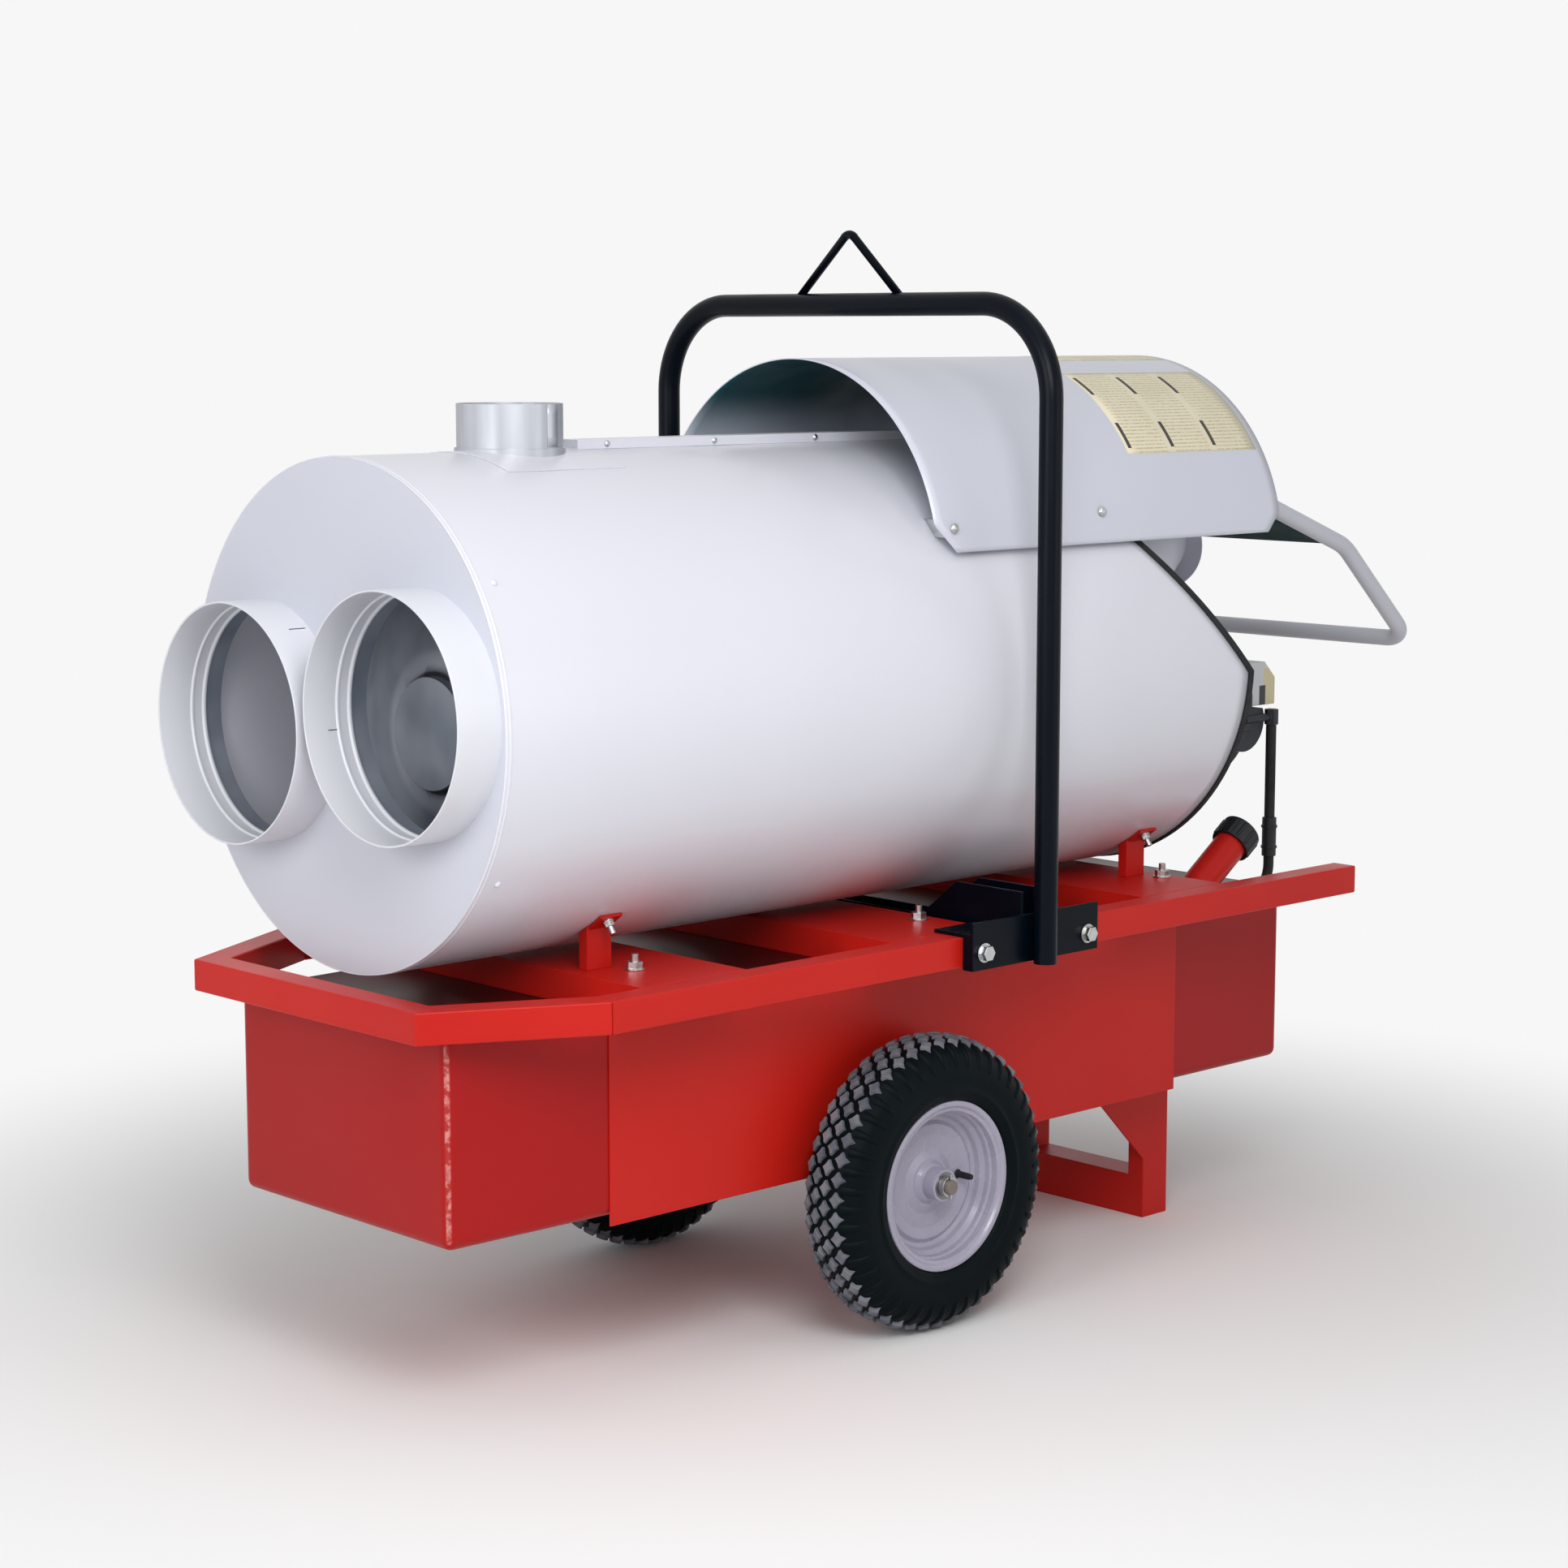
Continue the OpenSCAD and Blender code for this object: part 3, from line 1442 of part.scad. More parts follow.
// Rim section from the outer flange over the bead seats and well, with the dished disc and hub
module rim_body()
    rotate_extrude()
        union() {
            for (s = [-1, 1]) {
                polygon([[bead_d / 2 - rim_t, s * (rim_y - 24)], [bead_d / 2, s * (rim_y - 24)],
                    [bead_d / 2, s * (rim_y - rim_t)], [rim_d / 2 - 3, s * (rim_y - rim_t)],
                    [rim_d / 2, s * (rim_y - 2)], [rim_d / 2, s * rim_y],
                    [bead_d / 2 + 4, s * rim_y], [bead_d / 2 - rim_t, s * (rim_y - 6)]]);
                polygon([[bead_d / 2 - rim_t, s * (rim_y - 24)], [bead_d / 2, s * (rim_y - 24)],
                    [bead_d / 2 - 14, s * 8], [bead_d / 2 - 14 - rim_t, s * 8]]);
            }
            translate([bead_d / 2 - 14 - rim_t, -8])
                square([rim_t, 16]);
            polygon([[bead_d / 2 - 14, 2], [bead_d / 2 - 14, 2 + rim_t], [76, 10 + rim_t],
                [64, 3 + rim_t], [40, 3 + rim_t], [hub_r, 14 + rim_t], [hub_r, 14],
                [40, 3], [64, 3], [76, 10]]);
            translate([bearing_d / 2 - 2, -hub_in])
                square([hub_r - bearing_d / 2 + 2, hub_in + hub_out]);
        }

module rim()
    difference() {
        rim_body();
        for (z = [-hub_in - bearing_w, hub_out - bearing_w])
            translate([0, 0, z])
                cylinder(d = bearing_d, h = 2 * bearing_w);
    }

// Local frame of a wheel: Z runs outwards along the axle
module at_wheel(side)
    translate([axle_x, side * wheel_y, axle_z])
        rotate([-side * 90, 0, 0])
            children();

// The valve stem stands in a hole of the dished disc
module wheel_rim(side)
    color([0.72, 0.71, 0.75])
        at_wheel(side) {
            rim();
            translate([58, 0, 2])
                cylinder(d = 9, h = 30);
        }

module wheel_tyre(side)
    color([0.05, 0.06, 0.07])
        at_wheel(side)
            tyre();

module wheel_bearings(side)
    color([0.6, 0.6, 0.62])
        at_wheel(side)
            for (z = [-hub_in, hub_out - bearing_w])
                translate([0, 0, z])
                    tube(bearing_d, (bearing_d - spindle_d) / 2 - run, bearing_w);

module tyre_left()
    wheel_tyre(1);

module tyre_right()
    wheel_tyre(-1);

module rim_left()
    wheel_rim(1);

module rim_right()
    wheel_rim(-1);

module bearings_left()
    wheel_bearings(1);

module bearings_right()
    wheel_bearings(-1);

// Thrust tubes, washers and split pins that hold the wheels on the spindles
module axle_hardware()
    color([0.7, 0.7, 0.72])
        for (side = [-1, 1])
            at_wheel(side) {
                inner = tank_w / 2 + panel_t - wheel_y;
                translate([0, 0, inner])
                    difference() {
                        cylinder(d = spindle_d + 10, h = -hub_in - fit - inner);
                        translate([0, 0, -eps])
                            cylinder(d = spindle_d, h = 100);
                    }
                translate([0, 0, hub_out + fit])
                    difference() {
                        cylinder(d = spindle_d + 8, h = rim_y + 3.5 - hub_out - fit);
                        translate([0, 0, -eps])
                            cylinder(d = spindle_d, h = 100);
                    }
                translate([0, 0, spindle_end - wheel_y - 4])
                    rotate([90, 0, 0])
                        cylinder(d = 3, h = spindle_d + 14, center = true);
            }

// Rear stand: two legs, a foot bar across and a gusset in front of each leg
module rear_stand()
    color([0.72, 0.13, 0.11]) {
        leg_t = 30;
        difference() {
            translate([stand_x, -stand_w / 2, 0])
                cube([foot_w, stand_w, foot_h]);
            translate([stand_x + 3, -stand_w / 2 + 3, 3])
                cube([foot_w - 6, stand_w - 6, foot_h - 6]);
        }
        both_sides() {
            difference() {
                translate([stand_x, stand_w / 2 - leg_t, foot_h])
                    cube([foot_w, leg_t, tank_z - foot_h]);
                translate([stand_x + 3, stand_w / 2 - leg_t + 3, foot_h + 3])
                    cube([foot_w - 6, leg_t - 6, tank_z - foot_h - 6]);
            }
            translate([stand_x, stand_w / 2, tank_z])
                rotate([90, 0, 0])
                    linear_extrude(4)
                        polygon([[0, 0], [-gusset_l, 0], [0, -gusset_l]]);
        }
    }

tank_shell();
side_panels();
filler_neck();
fuel_cap();
fuel_pickup();
fuel_filter();
fuel_hose();
drain_plug();
rail_left();
rail_right();
frame_nose();
cross_members();
saddle_posts();
frame_bolts();
lift_bar();
lift_eye();
lift_base();
body_shell();
front_plate();
duct_collar_left();
duct_collar_right();
rear_plate();
fan_deck();
edge_trim();
top_seam();
chimney_collar();
heat_exchanger();
combustion_chamber();
fan_ring();
fan_guard();
fan_motor();
motor_mount();
fan_shaft();
fan_blades();
hood();
tail_sheet();
hood_clips();
handle();
body_screws();
blast_tube();
nozzle_assembly();
blower_housing();
blower_wheel();
burner_motor();
fuel_pump();
burner_control();
reset_button();
air_shutter();
control_box();
thermostat_knob();
power_switch();
axle();
tyre_left();
tyre_right();
rim_left();
rim_right();
bearings_left();
bearings_right();
axle_hardware();
rear_stand();
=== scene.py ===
"""A diesel space heater on two wheels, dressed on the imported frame.

The file follows the heater as it is put together: the fuel tank and its filler, the frame that is
bolted on it, the heater body with the fire inside, the hood, the burner, the controls and the wheels.
Sizes are in millimetres, and put() turns them into metres.
"""
import json
import math
import bmesh
import bpy
import numpy as np
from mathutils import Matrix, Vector

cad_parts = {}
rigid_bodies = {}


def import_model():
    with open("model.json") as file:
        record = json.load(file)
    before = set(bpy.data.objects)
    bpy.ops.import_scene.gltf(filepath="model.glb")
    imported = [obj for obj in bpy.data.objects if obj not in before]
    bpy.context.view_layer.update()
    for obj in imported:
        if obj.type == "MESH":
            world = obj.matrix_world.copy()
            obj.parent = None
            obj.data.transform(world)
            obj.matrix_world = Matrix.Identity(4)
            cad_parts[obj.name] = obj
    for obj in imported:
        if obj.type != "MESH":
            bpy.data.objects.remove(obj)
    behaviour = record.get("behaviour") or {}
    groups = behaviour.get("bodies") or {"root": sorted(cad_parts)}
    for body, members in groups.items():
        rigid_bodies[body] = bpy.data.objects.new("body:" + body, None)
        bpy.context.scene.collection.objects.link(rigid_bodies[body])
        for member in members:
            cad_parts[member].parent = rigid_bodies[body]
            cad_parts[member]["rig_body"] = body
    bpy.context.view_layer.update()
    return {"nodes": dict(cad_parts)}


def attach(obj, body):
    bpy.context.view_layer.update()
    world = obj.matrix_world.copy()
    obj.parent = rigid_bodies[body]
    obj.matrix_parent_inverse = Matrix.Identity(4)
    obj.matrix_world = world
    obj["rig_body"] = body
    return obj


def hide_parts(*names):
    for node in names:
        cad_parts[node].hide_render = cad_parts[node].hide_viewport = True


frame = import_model()


# The view: a 75 mm lens on a 36 mm square picture, from the left of the duct outlets and a little
# above them, looking slightly down.
view = bpy.data.cameras.new("view")
view.lens = 75.21
view.sensor_width = 36
view.clip_end = 200
camera = bpy.data.objects.new("camera", view)
camera.location = (-3.2558, -3.2729, 1.3354)
camera.rotation_euler = (math.radians(90 - 7.8562), 0, math.radians(46.4367 - 90))
bpy.context.scene.collection.objects.link(camera)
bpy.context.scene.camera = camera


# The fuel tank: a long welded box of 2.5 mm sheet in gloss red, drawn in at the front, with its
# edges folded round a 13 mm radius. It carries the frame and everything on it.
def tint(red, green, blue):
    """A colour given in 0 to 255 steps, made linear: ((c + 0.055) / 1.055) to the power 2.4."""
    c = np.array([red, green, blue]) / 255
    return (*np.where(c > 0.04045, ((c + 0.055) / 1.055) ** 2.4, c / 12.92), 1)


def speckle(tree, scale, detail, stretch=None):
    """Noise on the object's own coordinates, scale grains to a metre; stretch is a factor for each axis."""
    where = tree.nodes.new("ShaderNodeTexCoord").outputs["Object"]
    if stretch:
        map_to = tree.nodes.new("ShaderNodeMapping")
        map_to.inputs["Scale"].default_value = stretch
        tree.links.new(where, map_to.inputs["Vector"])
        where = map_to.outputs["Vector"]
    noise = tree.nodes.new("ShaderNodeTexNoise")
    noise.inputs["Scale"].default_value = scale
    noise.inputs["Detail"].default_value = detail
    tree.links.new(where, noise.inputs["Vector"])
    return noise.outputs[0]


def spread(tree, value, low, high, to_low=0.0, to_high=1.0, smooth=False):
    """The value's stretch from low to high laid out from to_low to to_high, and held beyond it."""
    ramp = tree.nodes.new("ShaderNodeMapRange")
    if smooth:
        ramp.interpolation_type = "SMOOTHSTEP"
    for name, number in zip(("From Min", "From Max", "To Min", "To Max"), (low, high, to_low, to_high)):
        ramp.inputs[name].default_value = number
    tree.links.new(value, ramp.inputs["Value"])
    return ramp.outputs["Result"]


def sums(tree, how, first, second):
    """Two values, or a value and a number, put together by one sum."""
    node = tree.nodes.new("ShaderNodeMath")
    node.operation = how
    for socket, value in zip(node.inputs, (first, second)):
        if isinstance(value, (int, float)):
            socket.default_value = value
        else:
            tree.links.new(value, socket)
    return node.outputs[0]


def blend(tree, share, first, second):
    """Two colours mixed by a share from 0 to 1; each is a colour or the output of a node."""
    mix = tree.nodes.new("ShaderNodeMix")
    mix.data_type = "RGBA"
    tree.links.new(share, mix.inputs[0])
    for socket, colour in zip((mix.inputs[6], mix.inputs[7]), (first, second)):
        if isinstance(colour, tuple):
            socket.default_value = colour
        else:
            tree.links.new(colour, socket)
    return mix.outputs[2]


def finish(name, colour, shade, cloud=2.5, rough=(0.25, 0.4), grain=30, relief=0.0, fine=400,
           metal=0.0, coat=0.0, gloss=0.5, stretch=None):
    """A finish: colour and shade mixed in clouds, roughness that varies in grains, and a fine relief.

    relief is the depth of the bumps in millimetres and fine their number a metre."""
    made = bpy.data.materials.new(name)
    made.use_nodes = True
    tree = made.node_tree
    shader = tree.nodes["Principled BSDF"]
    clouds = spread(tree, speckle(tree, cloud, 2, stretch), 0.25, 0.75, smooth=True)
    tree.links.new(blend(tree, clouds, tint(*colour), tint(*shade)), shader.inputs["Base Color"])
    grains = spread(tree, speckle(tree, grain, 1, stretch), 0.2, 0.8, *rough, smooth=True)
    tree.links.new(grains, shader.inputs["Roughness"])
    shader.inputs["Metallic"].default_value = metal
    shader.inputs["Coat Weight"].default_value = coat
    shader.inputs["Coat Roughness"].default_value = 0.12
    shader.inputs["Specular IOR Level"].default_value = gloss
    if relief:
        bump = tree.nodes.new("ShaderNodeBump")
        bump.inputs["Distance"].default_value = relief / 1000
        bump.inputs["Strength"].default_value = 1
        tree.links.new(speckle(tree, fine, 0 if fine < 50 else 2, stretch), bump.inputs["Height"])
        tree.links.new(bump.outputs["Normal"], shader.inputs["Normal"])
    made.diffuse_color = tint(*colour)
    return made


def over(made, share, colour):
    """A second coat on a finish, such as chips or dust, where share is above nought."""
    tree = made.node_tree
    shader = tree.nodes["Principled BSDF"]
    under = shader.inputs["Base Color"].links[0].from_socket
    tree.links.new(blend(tree, share, under, tint(*colour)), shader.inputs["Base Color"])


def along(tree, axis):
    """How far along X, Y or Z a point of the object lies, in metres."""
    split = tree.nodes.new("ShaderNodeSeparateXYZ")
    tree.links.new(tree.nodes.new("ShaderNodeTexCoord").outputs["Object"], split.inputs[0])
    return split.outputs[axis]


def put(name, points, blocks, body, slot, material, stands_for=(), crease=32, bevel=0, wall=0, inner=None):
    """A named piece from points in millimetres and blocks of faces, each face a row of point numbers.

    wall gives it a thickness towards its inside, and inner is the finish on that inside."""
    mesh = bpy.data.meshes.new(name)
    mesh.from_pydata((np.reshape(points, (-1, 3)) / 1000).tolist(), [],
                     [face for block in blocks for face in np.asarray(block).tolist()])
    work = bmesh.new()
    work.from_mesh(mesh)
    bmesh.ops.remove_doubles(work, verts=work.verts, dist=2e-6)
    bmesh.ops.recalc_face_normals(work, faces=work.faces)
    piece = made_piece(name, mesh, work, body, material, stands_for, crease, bevel, wall)
    if inner:
        piece.data.materials.append(inner)
        piece.modifiers["sheet"].material_offset = 1
    return piece


def made_piece(name, mesh, work, body, material, stands_for, crease, bevel, wall):
    """Writes the worked mesh back, shades it smooth between its creases and hands it to the frame."""
    work.to_mesh(mesh)
    work.free()
    mesh.materials.clear()
    mesh.materials.append(material)
    mesh.polygons.foreach_set("use_smooth", np.ones(len(mesh.polygons), bool))
    mesh.polygons.foreach_set("material_index", np.zeros(len(mesh.polygons), np.int32))
    if not bevel:
        mesh.set_sharp_from_angle(angle=math.radians(crease))
    piece = bpy.data.objects.new(name, mesh)
    bpy.context.scene.collection.objects.link(piece)
    if wall:
        sheet = piece.modifiers.new("sheet", "SOLIDIFY")
        sheet.thickness = wall / 1000
        sheet.offset = -1
    if bevel:
        edges = piece.modifiers.new("edges", "BEVEL")
        edges.width = bevel / 1000
        edges.segments = 3
        edges.limit_method = "ANGLE"
        edges.angle_limit = math.radians(crease)
        edges.use_clamp_overlap = False
        shading = piece.modifiers.new("shading", "WEIGHTED_NORMAL")
        shading.keep_sharp = True
    if stands_for:
        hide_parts(*stands_for)
    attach(piece, body)
    return piece


def softened(node, material, bevel=0.6, crease=32, second=None, where=None):
    """A copy of a CAD node, its loose triangles merged to whole faces and its edges rounded off.

    The second finish goes on the faces for which where(middle in millimetres) is true."""
    source = frame["nodes"][node]
    mesh = source.data.copy()
    work = bmesh.new()
    work.from_mesh(mesh)
    bmesh.ops.remove_doubles(work, verts=work.verts, dist=1e-5)
    bmesh.ops.dissolve_limit(work, angle_limit=math.radians(0.5), verts=work.verts, edges=work.edges)
    for layer in list(work.loops.layers.float_vector):
        work.loops.layers.float_vector.remove(layer)
    piece = made_piece(node + "_piece", mesh, work, source["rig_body"], material,
                       [node], crease, bevel, 0)
    if second:
        mesh.materials.append(second)
        for face in mesh.polygons:
            face.material_index = int(where(face.center * 1000))
    return piece


def prism(outline, low, high):
    """A flat outline raised from low to high: two end faces and a ring of sides."""
    points = np.vstack([np.insert(np.asarray(outline, float), 2, level, axis=1) for level in (low, high)])
    count = len(outline)
    i = np.arange(count)
    sides = np.stack([i, np.roll(i, -1), np.roll(i, -1) + count, i + count], axis=1)
    return points, [i[None, ::-1], i[None] + count, sides]


red_paint = finish("red_paint", (196, 30, 20), (184, 25, 18), cloud=1.6, rough=(0.34, 0.44), grain=6,
                   relief=0.03, fine=220, gloss=0.22)
# the tank's gloss red, set darker than the frame's red as painted shade for the tank sitting low under the
# frame and body
tank_red_shaded = finish("tank_red_shaded", (168, 17, 17), (152, 13, 15), cloud=1.3, rough=(0.32, 0.44), grain=5,
                    relief=0.5, fine=4, gloss=0.2)
tank_front, tank_bend, tank_rear = -906, -657, 692
nose_y, tank_y, tank_low, tank_top, edge_fold = 215, 222, 234, 500, 13
tree = tank_red_shaded.node_tree
# chips where x + y is within 9 mm of the near front corner's, and painted shade on the top under the frame
nose = (tank_front - nose_y) / 1000
corner = spread(tree, sums(tree, "ADD", along(tree, 0), along(tree, 1)), nose + 0.0086, nose + 0.0079)
chips = spread(tree, speckle(tree, 110, 4), 0.46, 0.64, 0.08, 0.75)
over(tank_red_shaded, sums(tree, "MULTIPLY", corner, chips), (216, 150, 144))
top = tank_top / 1000
# painted shade: the tank's top and the upper 10 mm of its folded edge darkened, under the frame and body
over(tank_red_shaded, spread(tree, along(tree, 2), top - 0.01, top - 0.0015, 0, 0.85, smooth=True), (26, 8, 8))
tank_plan = [(tank_front, -nose_y), (tank_bend, -tank_y), (tank_rear, -tank_y),
             (tank_rear, tank_y), (tank_bend, tank_y), (tank_front, nose_y)]
tank = put("tank_shell_piece", *prism(tank_plan, tank_low, tank_top), "heater", "red_paint", tank_red_shaded,
           ["tank_shell"], crease=20, bevel=edge_fold)
tank.modifiers["edges"].segments = 5
softened("side_panels", red_paint, 0.8)

# The filler: a red neck welded on the tank's top, leaning back 55 degrees from upright, with a
# ribbed black cap that turns a quarter turn, a brass pickup, a rubber hose and a small filter.
black_plastic = finish("black_plastic", (26, 28, 32), (19, 21, 24), cloud=9, rough=(0.42, 0.6), grain=60,
                       relief=0.06, fine=700, gloss=0.35)
brass = finish("brass", (196, 152, 78), (170, 126, 58), cloud=12, rough=(0.28, 0.45), grain=80, metal=1.0)
rubber = finish("rubber", (20, 21, 23), (29, 30, 32), cloud=14, rough=(0.6, 0.78), grain=60, relief=0.08,
                fine=900, gloss=0.3)
softened("filler_neck", red_paint, 1.0)
softened("fuel_cap", black_plastic, 1.2)
softened("fuel_pickup", brass, 0.5)
softened("fuel_hose", rubber, 0, crease=40)
softened("fuel_filter", black_plastic, 0.6)
softened("drain_plug", brass, 0.6)

# The frame: 41 mm square tube in red, mitred at the nose, with three cross members, the saddle
# posts that hold the body, and zinc bolts through to the tank.
zinc = finish("zinc", (200, 202, 205), (172, 172, 168), cloud=40, rough=(0.22, 0.4), grain=120, metal=1.0)
softened("rail_left", red_paint, 2.5)
softened("rail_right", red_paint, 2.5)
softened("frame_nose", red_paint, 2.5)
softened("cross_members", red_paint, 0.8)
softened("saddle_posts", red_paint, 0.8)
softened("frame_bolts", zinc, 0.5)


# The lifting bar: a hoop of 32 mm tube in gloss black with a bent rod on top for a crane's hook,
# welded to two brackets that are bolted to the rails.
def rounded(corners, radii, steps=8, ring=False):
    """A line's corners swapped for arcs: each arc touches both sides at radius / tan(half the angle)."""
    corners = [np.asarray(c, float) for c in corners]
    line = []
    for k, (corner, radius) in enumerate(zip(corners, radii)):
        if radius <= 0 or (not ring and k in (0, len(corners) - 1)):
            line.append(corner[None])
            continue
        back, on = corners[k - 1] - corner, corners[(k + 1) % len(corners)] - corner
        back, on = back / np.linalg.norm(back), on / np.linalg.norm(on)
        half = math.acos(np.clip(back @ on, -1, 1)) / 2
        middle = (back + on) / np.linalg.norm(back + on)
        centre = corner + middle * radius / math.sin(half)
        turn = np.linspace(-1, 1, steps + 1)[:, None] * (math.pi / 2 - half)
        side = (on - back) / np.linalg.norm(on - back)
        line.append(centre + radius * (np.sin(turn) * side - np.cos(turn) * middle))
    return np.vstack(line)


def lattice(rows, columns, ring_rows=False, ring_columns=False):
    """Four-cornered faces of a grid of points, row after row; a ring joins its last line to its first."""
    i = np.arange(rows * columns).reshape(rows, columns)
    if ring_rows:
        i = np.vstack([i, i[:1]])
    if ring_columns:
        i = np.hstack([i, i[:, :1]])
    return np.stack([i[:-1, :-1], i[1:, :-1], i[1:, 1:], i[:-1, 1:]], axis=-1).reshape(-1, 4)


def carried(outline, path, across):
    """A flat outline carried along a path: each of its points keeps its place across and beside the path.

    At a bend the outline stands square to the half angle, and its two ends are closed."""
    outline, path = np.asarray(outline, float), np.asarray(path, float)
    step = np.diff(path, axis=0)
    step /= np.linalg.norm(step, axis=1, keepdims=True)
    ahead = np.vstack([step[:1], step[:-1] + step[1:], step[-1:]])
    ahead /= np.linalg.norm(ahead, axis=1, keepdims=True)
    across = np.asarray(across, float)
    across = across - (ahead @ across)[:, None] * ahead
    across /= np.linalg.norm(across, axis=1, keepdims=True)
    beside = np.cross(ahead, across)
    points = path[:, None] + outline[None, :, :1] * across[:, None] + outline[None, :, 1:] * beside[:, None]
    i = np.arange(len(outline))
    ends = [i[None], i[None, ::-1] + (len(path) - 1) * len(outline)]
    return points, [lattice(len(path), len(outline), False, True), *ends]


def circle(radius, steps):
    """Points round a circle: (radius·cos a, radius·sin a)."""
    a = np.linspace(0, 2 * np.pi, steps, endpoint=False)
    return np.stack([radius * np.cos(a), radius * np.sin(a)], axis=1)


black_paint = finish("black_paint", (2, 8, 17), (4, 11, 20), cloud=3, rough=(0.26, 0.36), grain=20,
                     relief=0.03, fine=300, gloss=0.1)
bar_x, bar_y, bar_foot, bar_top, bar_r, bar_bend = -18, 378, 495, 1373, 16, 125
hoop = rounded([(bar_x, -bar_y, bar_foot), (bar_x, -bar_y, bar_top),
                (bar_x, bar_y, bar_top), (bar_x, bar_y, bar_foot)], [0, bar_bend, bar_bend, 0], steps=20)
put("lift_bar_piece", *carried(circle(bar_r, 40), hoop, (1, 0, 0)), "heater", "black_paint", black_paint,
    ["lift_bar"])
softened("lift_eye", black_paint, 0, crease=40)
softened("lift_base", black_paint, 1.2)


# The body: a drum of 1.5 mm sheet, 640 across, in light grey enamel, rolled up and cut off at
# 45 degrees at the back. The front plate is flat and stands a little inside the drum's lip.
def grid(x, y, z):
    """A grid of points from its coordinates, each a row, a column or a whole grid of numbers."""
    return np.stack(np.broadcast_arrays(x, y, z), axis=-1)


shell_front, shell_back, shell_r, shell_z, sheet_t = -892, 488, 320, 866, 1.5
slant = 1337  # what x + z comes to along the cut
light_paint = finish("light_paint", (217, 218, 227), (213, 214, 223), cloud=1.2, rough=(0.3, 0.36), grain=4,
                     relief=0.3, fine=4, coat=0.1)
plate_paint = finish("plate_paint", (203, 206, 217), (198, 201, 212), cloud=1.4, rough=(0.36, 0.46), grain=5,
                     relief=0.2, fine=5)
turn = np.linspace(0, 2 * np.pi, 180, endpoint=False)
back = np.minimum(shell_back, slant - (shell_z + shell_r * np.cos(turn)))
# a ridge 0.7 mm high is rolled round the front, and the sheet is up to 0.3 mm out of round
hem = np.array([0, 3.0, 6.0, 6.9, 8.6, 9.5, 14.0])
hem_rise = np.array([0, 0, 0, 0.7, 0.7, 0, 0])
share = np.linspace(0, 1, 46)[1:]
x = np.vstack([np.broadcast_to((shell_front + hem)[:, None], (len(hem), len(turn))),
               shell_front + hem[-1] + share[:, None] * (back - shell_front - hem[-1])[None]])
rise = np.concatenate([hem_rise, share * 0])
radius = shell_r + rise[:, None] - 0.3 * np.sin(x / 61) ** 2 * np.sin(turn * 3 + x / 200) ** 2
shell = grid(x, radius * np.sin(turn), shell_z + radius * np.cos(turn))
put("body_shell_piece", shell, [lattice(len(x), len(turn), False, True)], "heater",
    "light_paint", light_paint, ["body_shell"], wall=sheet_t)
softened("front_plate", plate_paint, 0.4)


# The two duct collars: rings of sheet 306 across, lapped and pushed through the plate, with two
# ridges pressed inwards beside the plate and a rounded tip. Inside the body they are bare steel.
def turned(profile, place, aim, steps):
    """A closed outline of (radius, height) pairs turned about an axis.

    A point is place + height along the axis + radius times (cos a sideways + sin a across)."""
    aim = np.asarray(aim, float) / np.linalg.norm(aim)
    side = np.cross(aim, (0, 0, 1) if abs(aim[2]) < 0.9 else (1, 0, 0))
    side /= np.linalg.norm(side)
    a = np.linspace(0, 2 * np.pi, steps, endpoint=False)[:, None]
    spoke = np.cos(a) * side + np.sin(a) * np.cross(aim, side)
    profile = np.asarray(profile, float)
    points = np.asarray(place, float) + profile[None, :, 1:] * aim + profile[None, :, :1] * spoke[:, None]
    return points.reshape(-1, 3), [lattice(steps, len(profile), True, True)]


def lathe(corners, radii, place, aim, steps):
    """A turned piece whose outline has its corners rounded off."""
    return turned(rounded(corners, radii, 5, ring=True), place, aim, steps)


scaled_steel = finish("scaled_steel", (150, 156, 168), (112, 120, 134), cloud=9, rough=(0.4, 0.6), grain=20,
                      relief=0.3, fine=90, metal=0.35)
collar_paint = finish("collar_paint", (216, 218, 224), (210, 212, 219), cloud=2, rough=(0.3, 0.42), grain=6,
                      relief=0.1, fine=8, coat=0.1)
lap_shadow = finish("lap_shadow", (40, 42, 50), (28, 30, 36), cloud=60, rough=(0.5, 0.7), grain=90)
collar_y, collar_drop, paint_end = 159.2, 16.2, 6
for side, name in ((-1, "duct_collar_right"), (1, "duct_collar_left")):
    centre = (shell_front, side * collar_y, shell_z - side * collar_drop)
    ring = lathe([(150.5, 64), (150.5, 17), (148.3, 15.5), (148.3, 13), (149.8, 11.5), (149.8, 0),
                  (147.2, -2), (147.2, -5), (150.5, -6.6), (150.5, -30), (152, -30), (152, 0), (153, 0),
                  (153, 64)],
                 [0.8, 0, 0.8, 0.8, 0, 0, 1, 1, 0, 0, 0, 0, 0, 0.8], centre, (-1, 0, 0), 144)
    collar = put(name + "_piece", *ring, "heater", "light_paint", collar_paint, [name], crease=40)
    collar.data.materials.append(scaled_steel)
    for face in collar.data.polygons:
        face.material_index = int(face.center.x > (shell_front + paint_end) / 1000)
    # the lap's edge is a dark line, drawn inside the far collar and outside the near one
    lap_at, lap_r = (101, 150.2) if side < 0 else (-37, 153.4)
    turn = np.radians([lap_at - 2, lap_at, lap_at + 2])
    at = np.linspace(shell_front - 30, shell_front - 6, 5)[:, None]
    lap = grid(at, centre[1] + lap_r * np.sin(turn), centre[2] + lap_r * np.cos(turn))
    mark = lap[:, 1:2] + (lap[:, ::2] - lap[:, 1:2]) * 0.11
    put(name + "_lap", mark, [lattice(5, 2)], "heater", "light_paint", lap_shadow, wall=0.3)

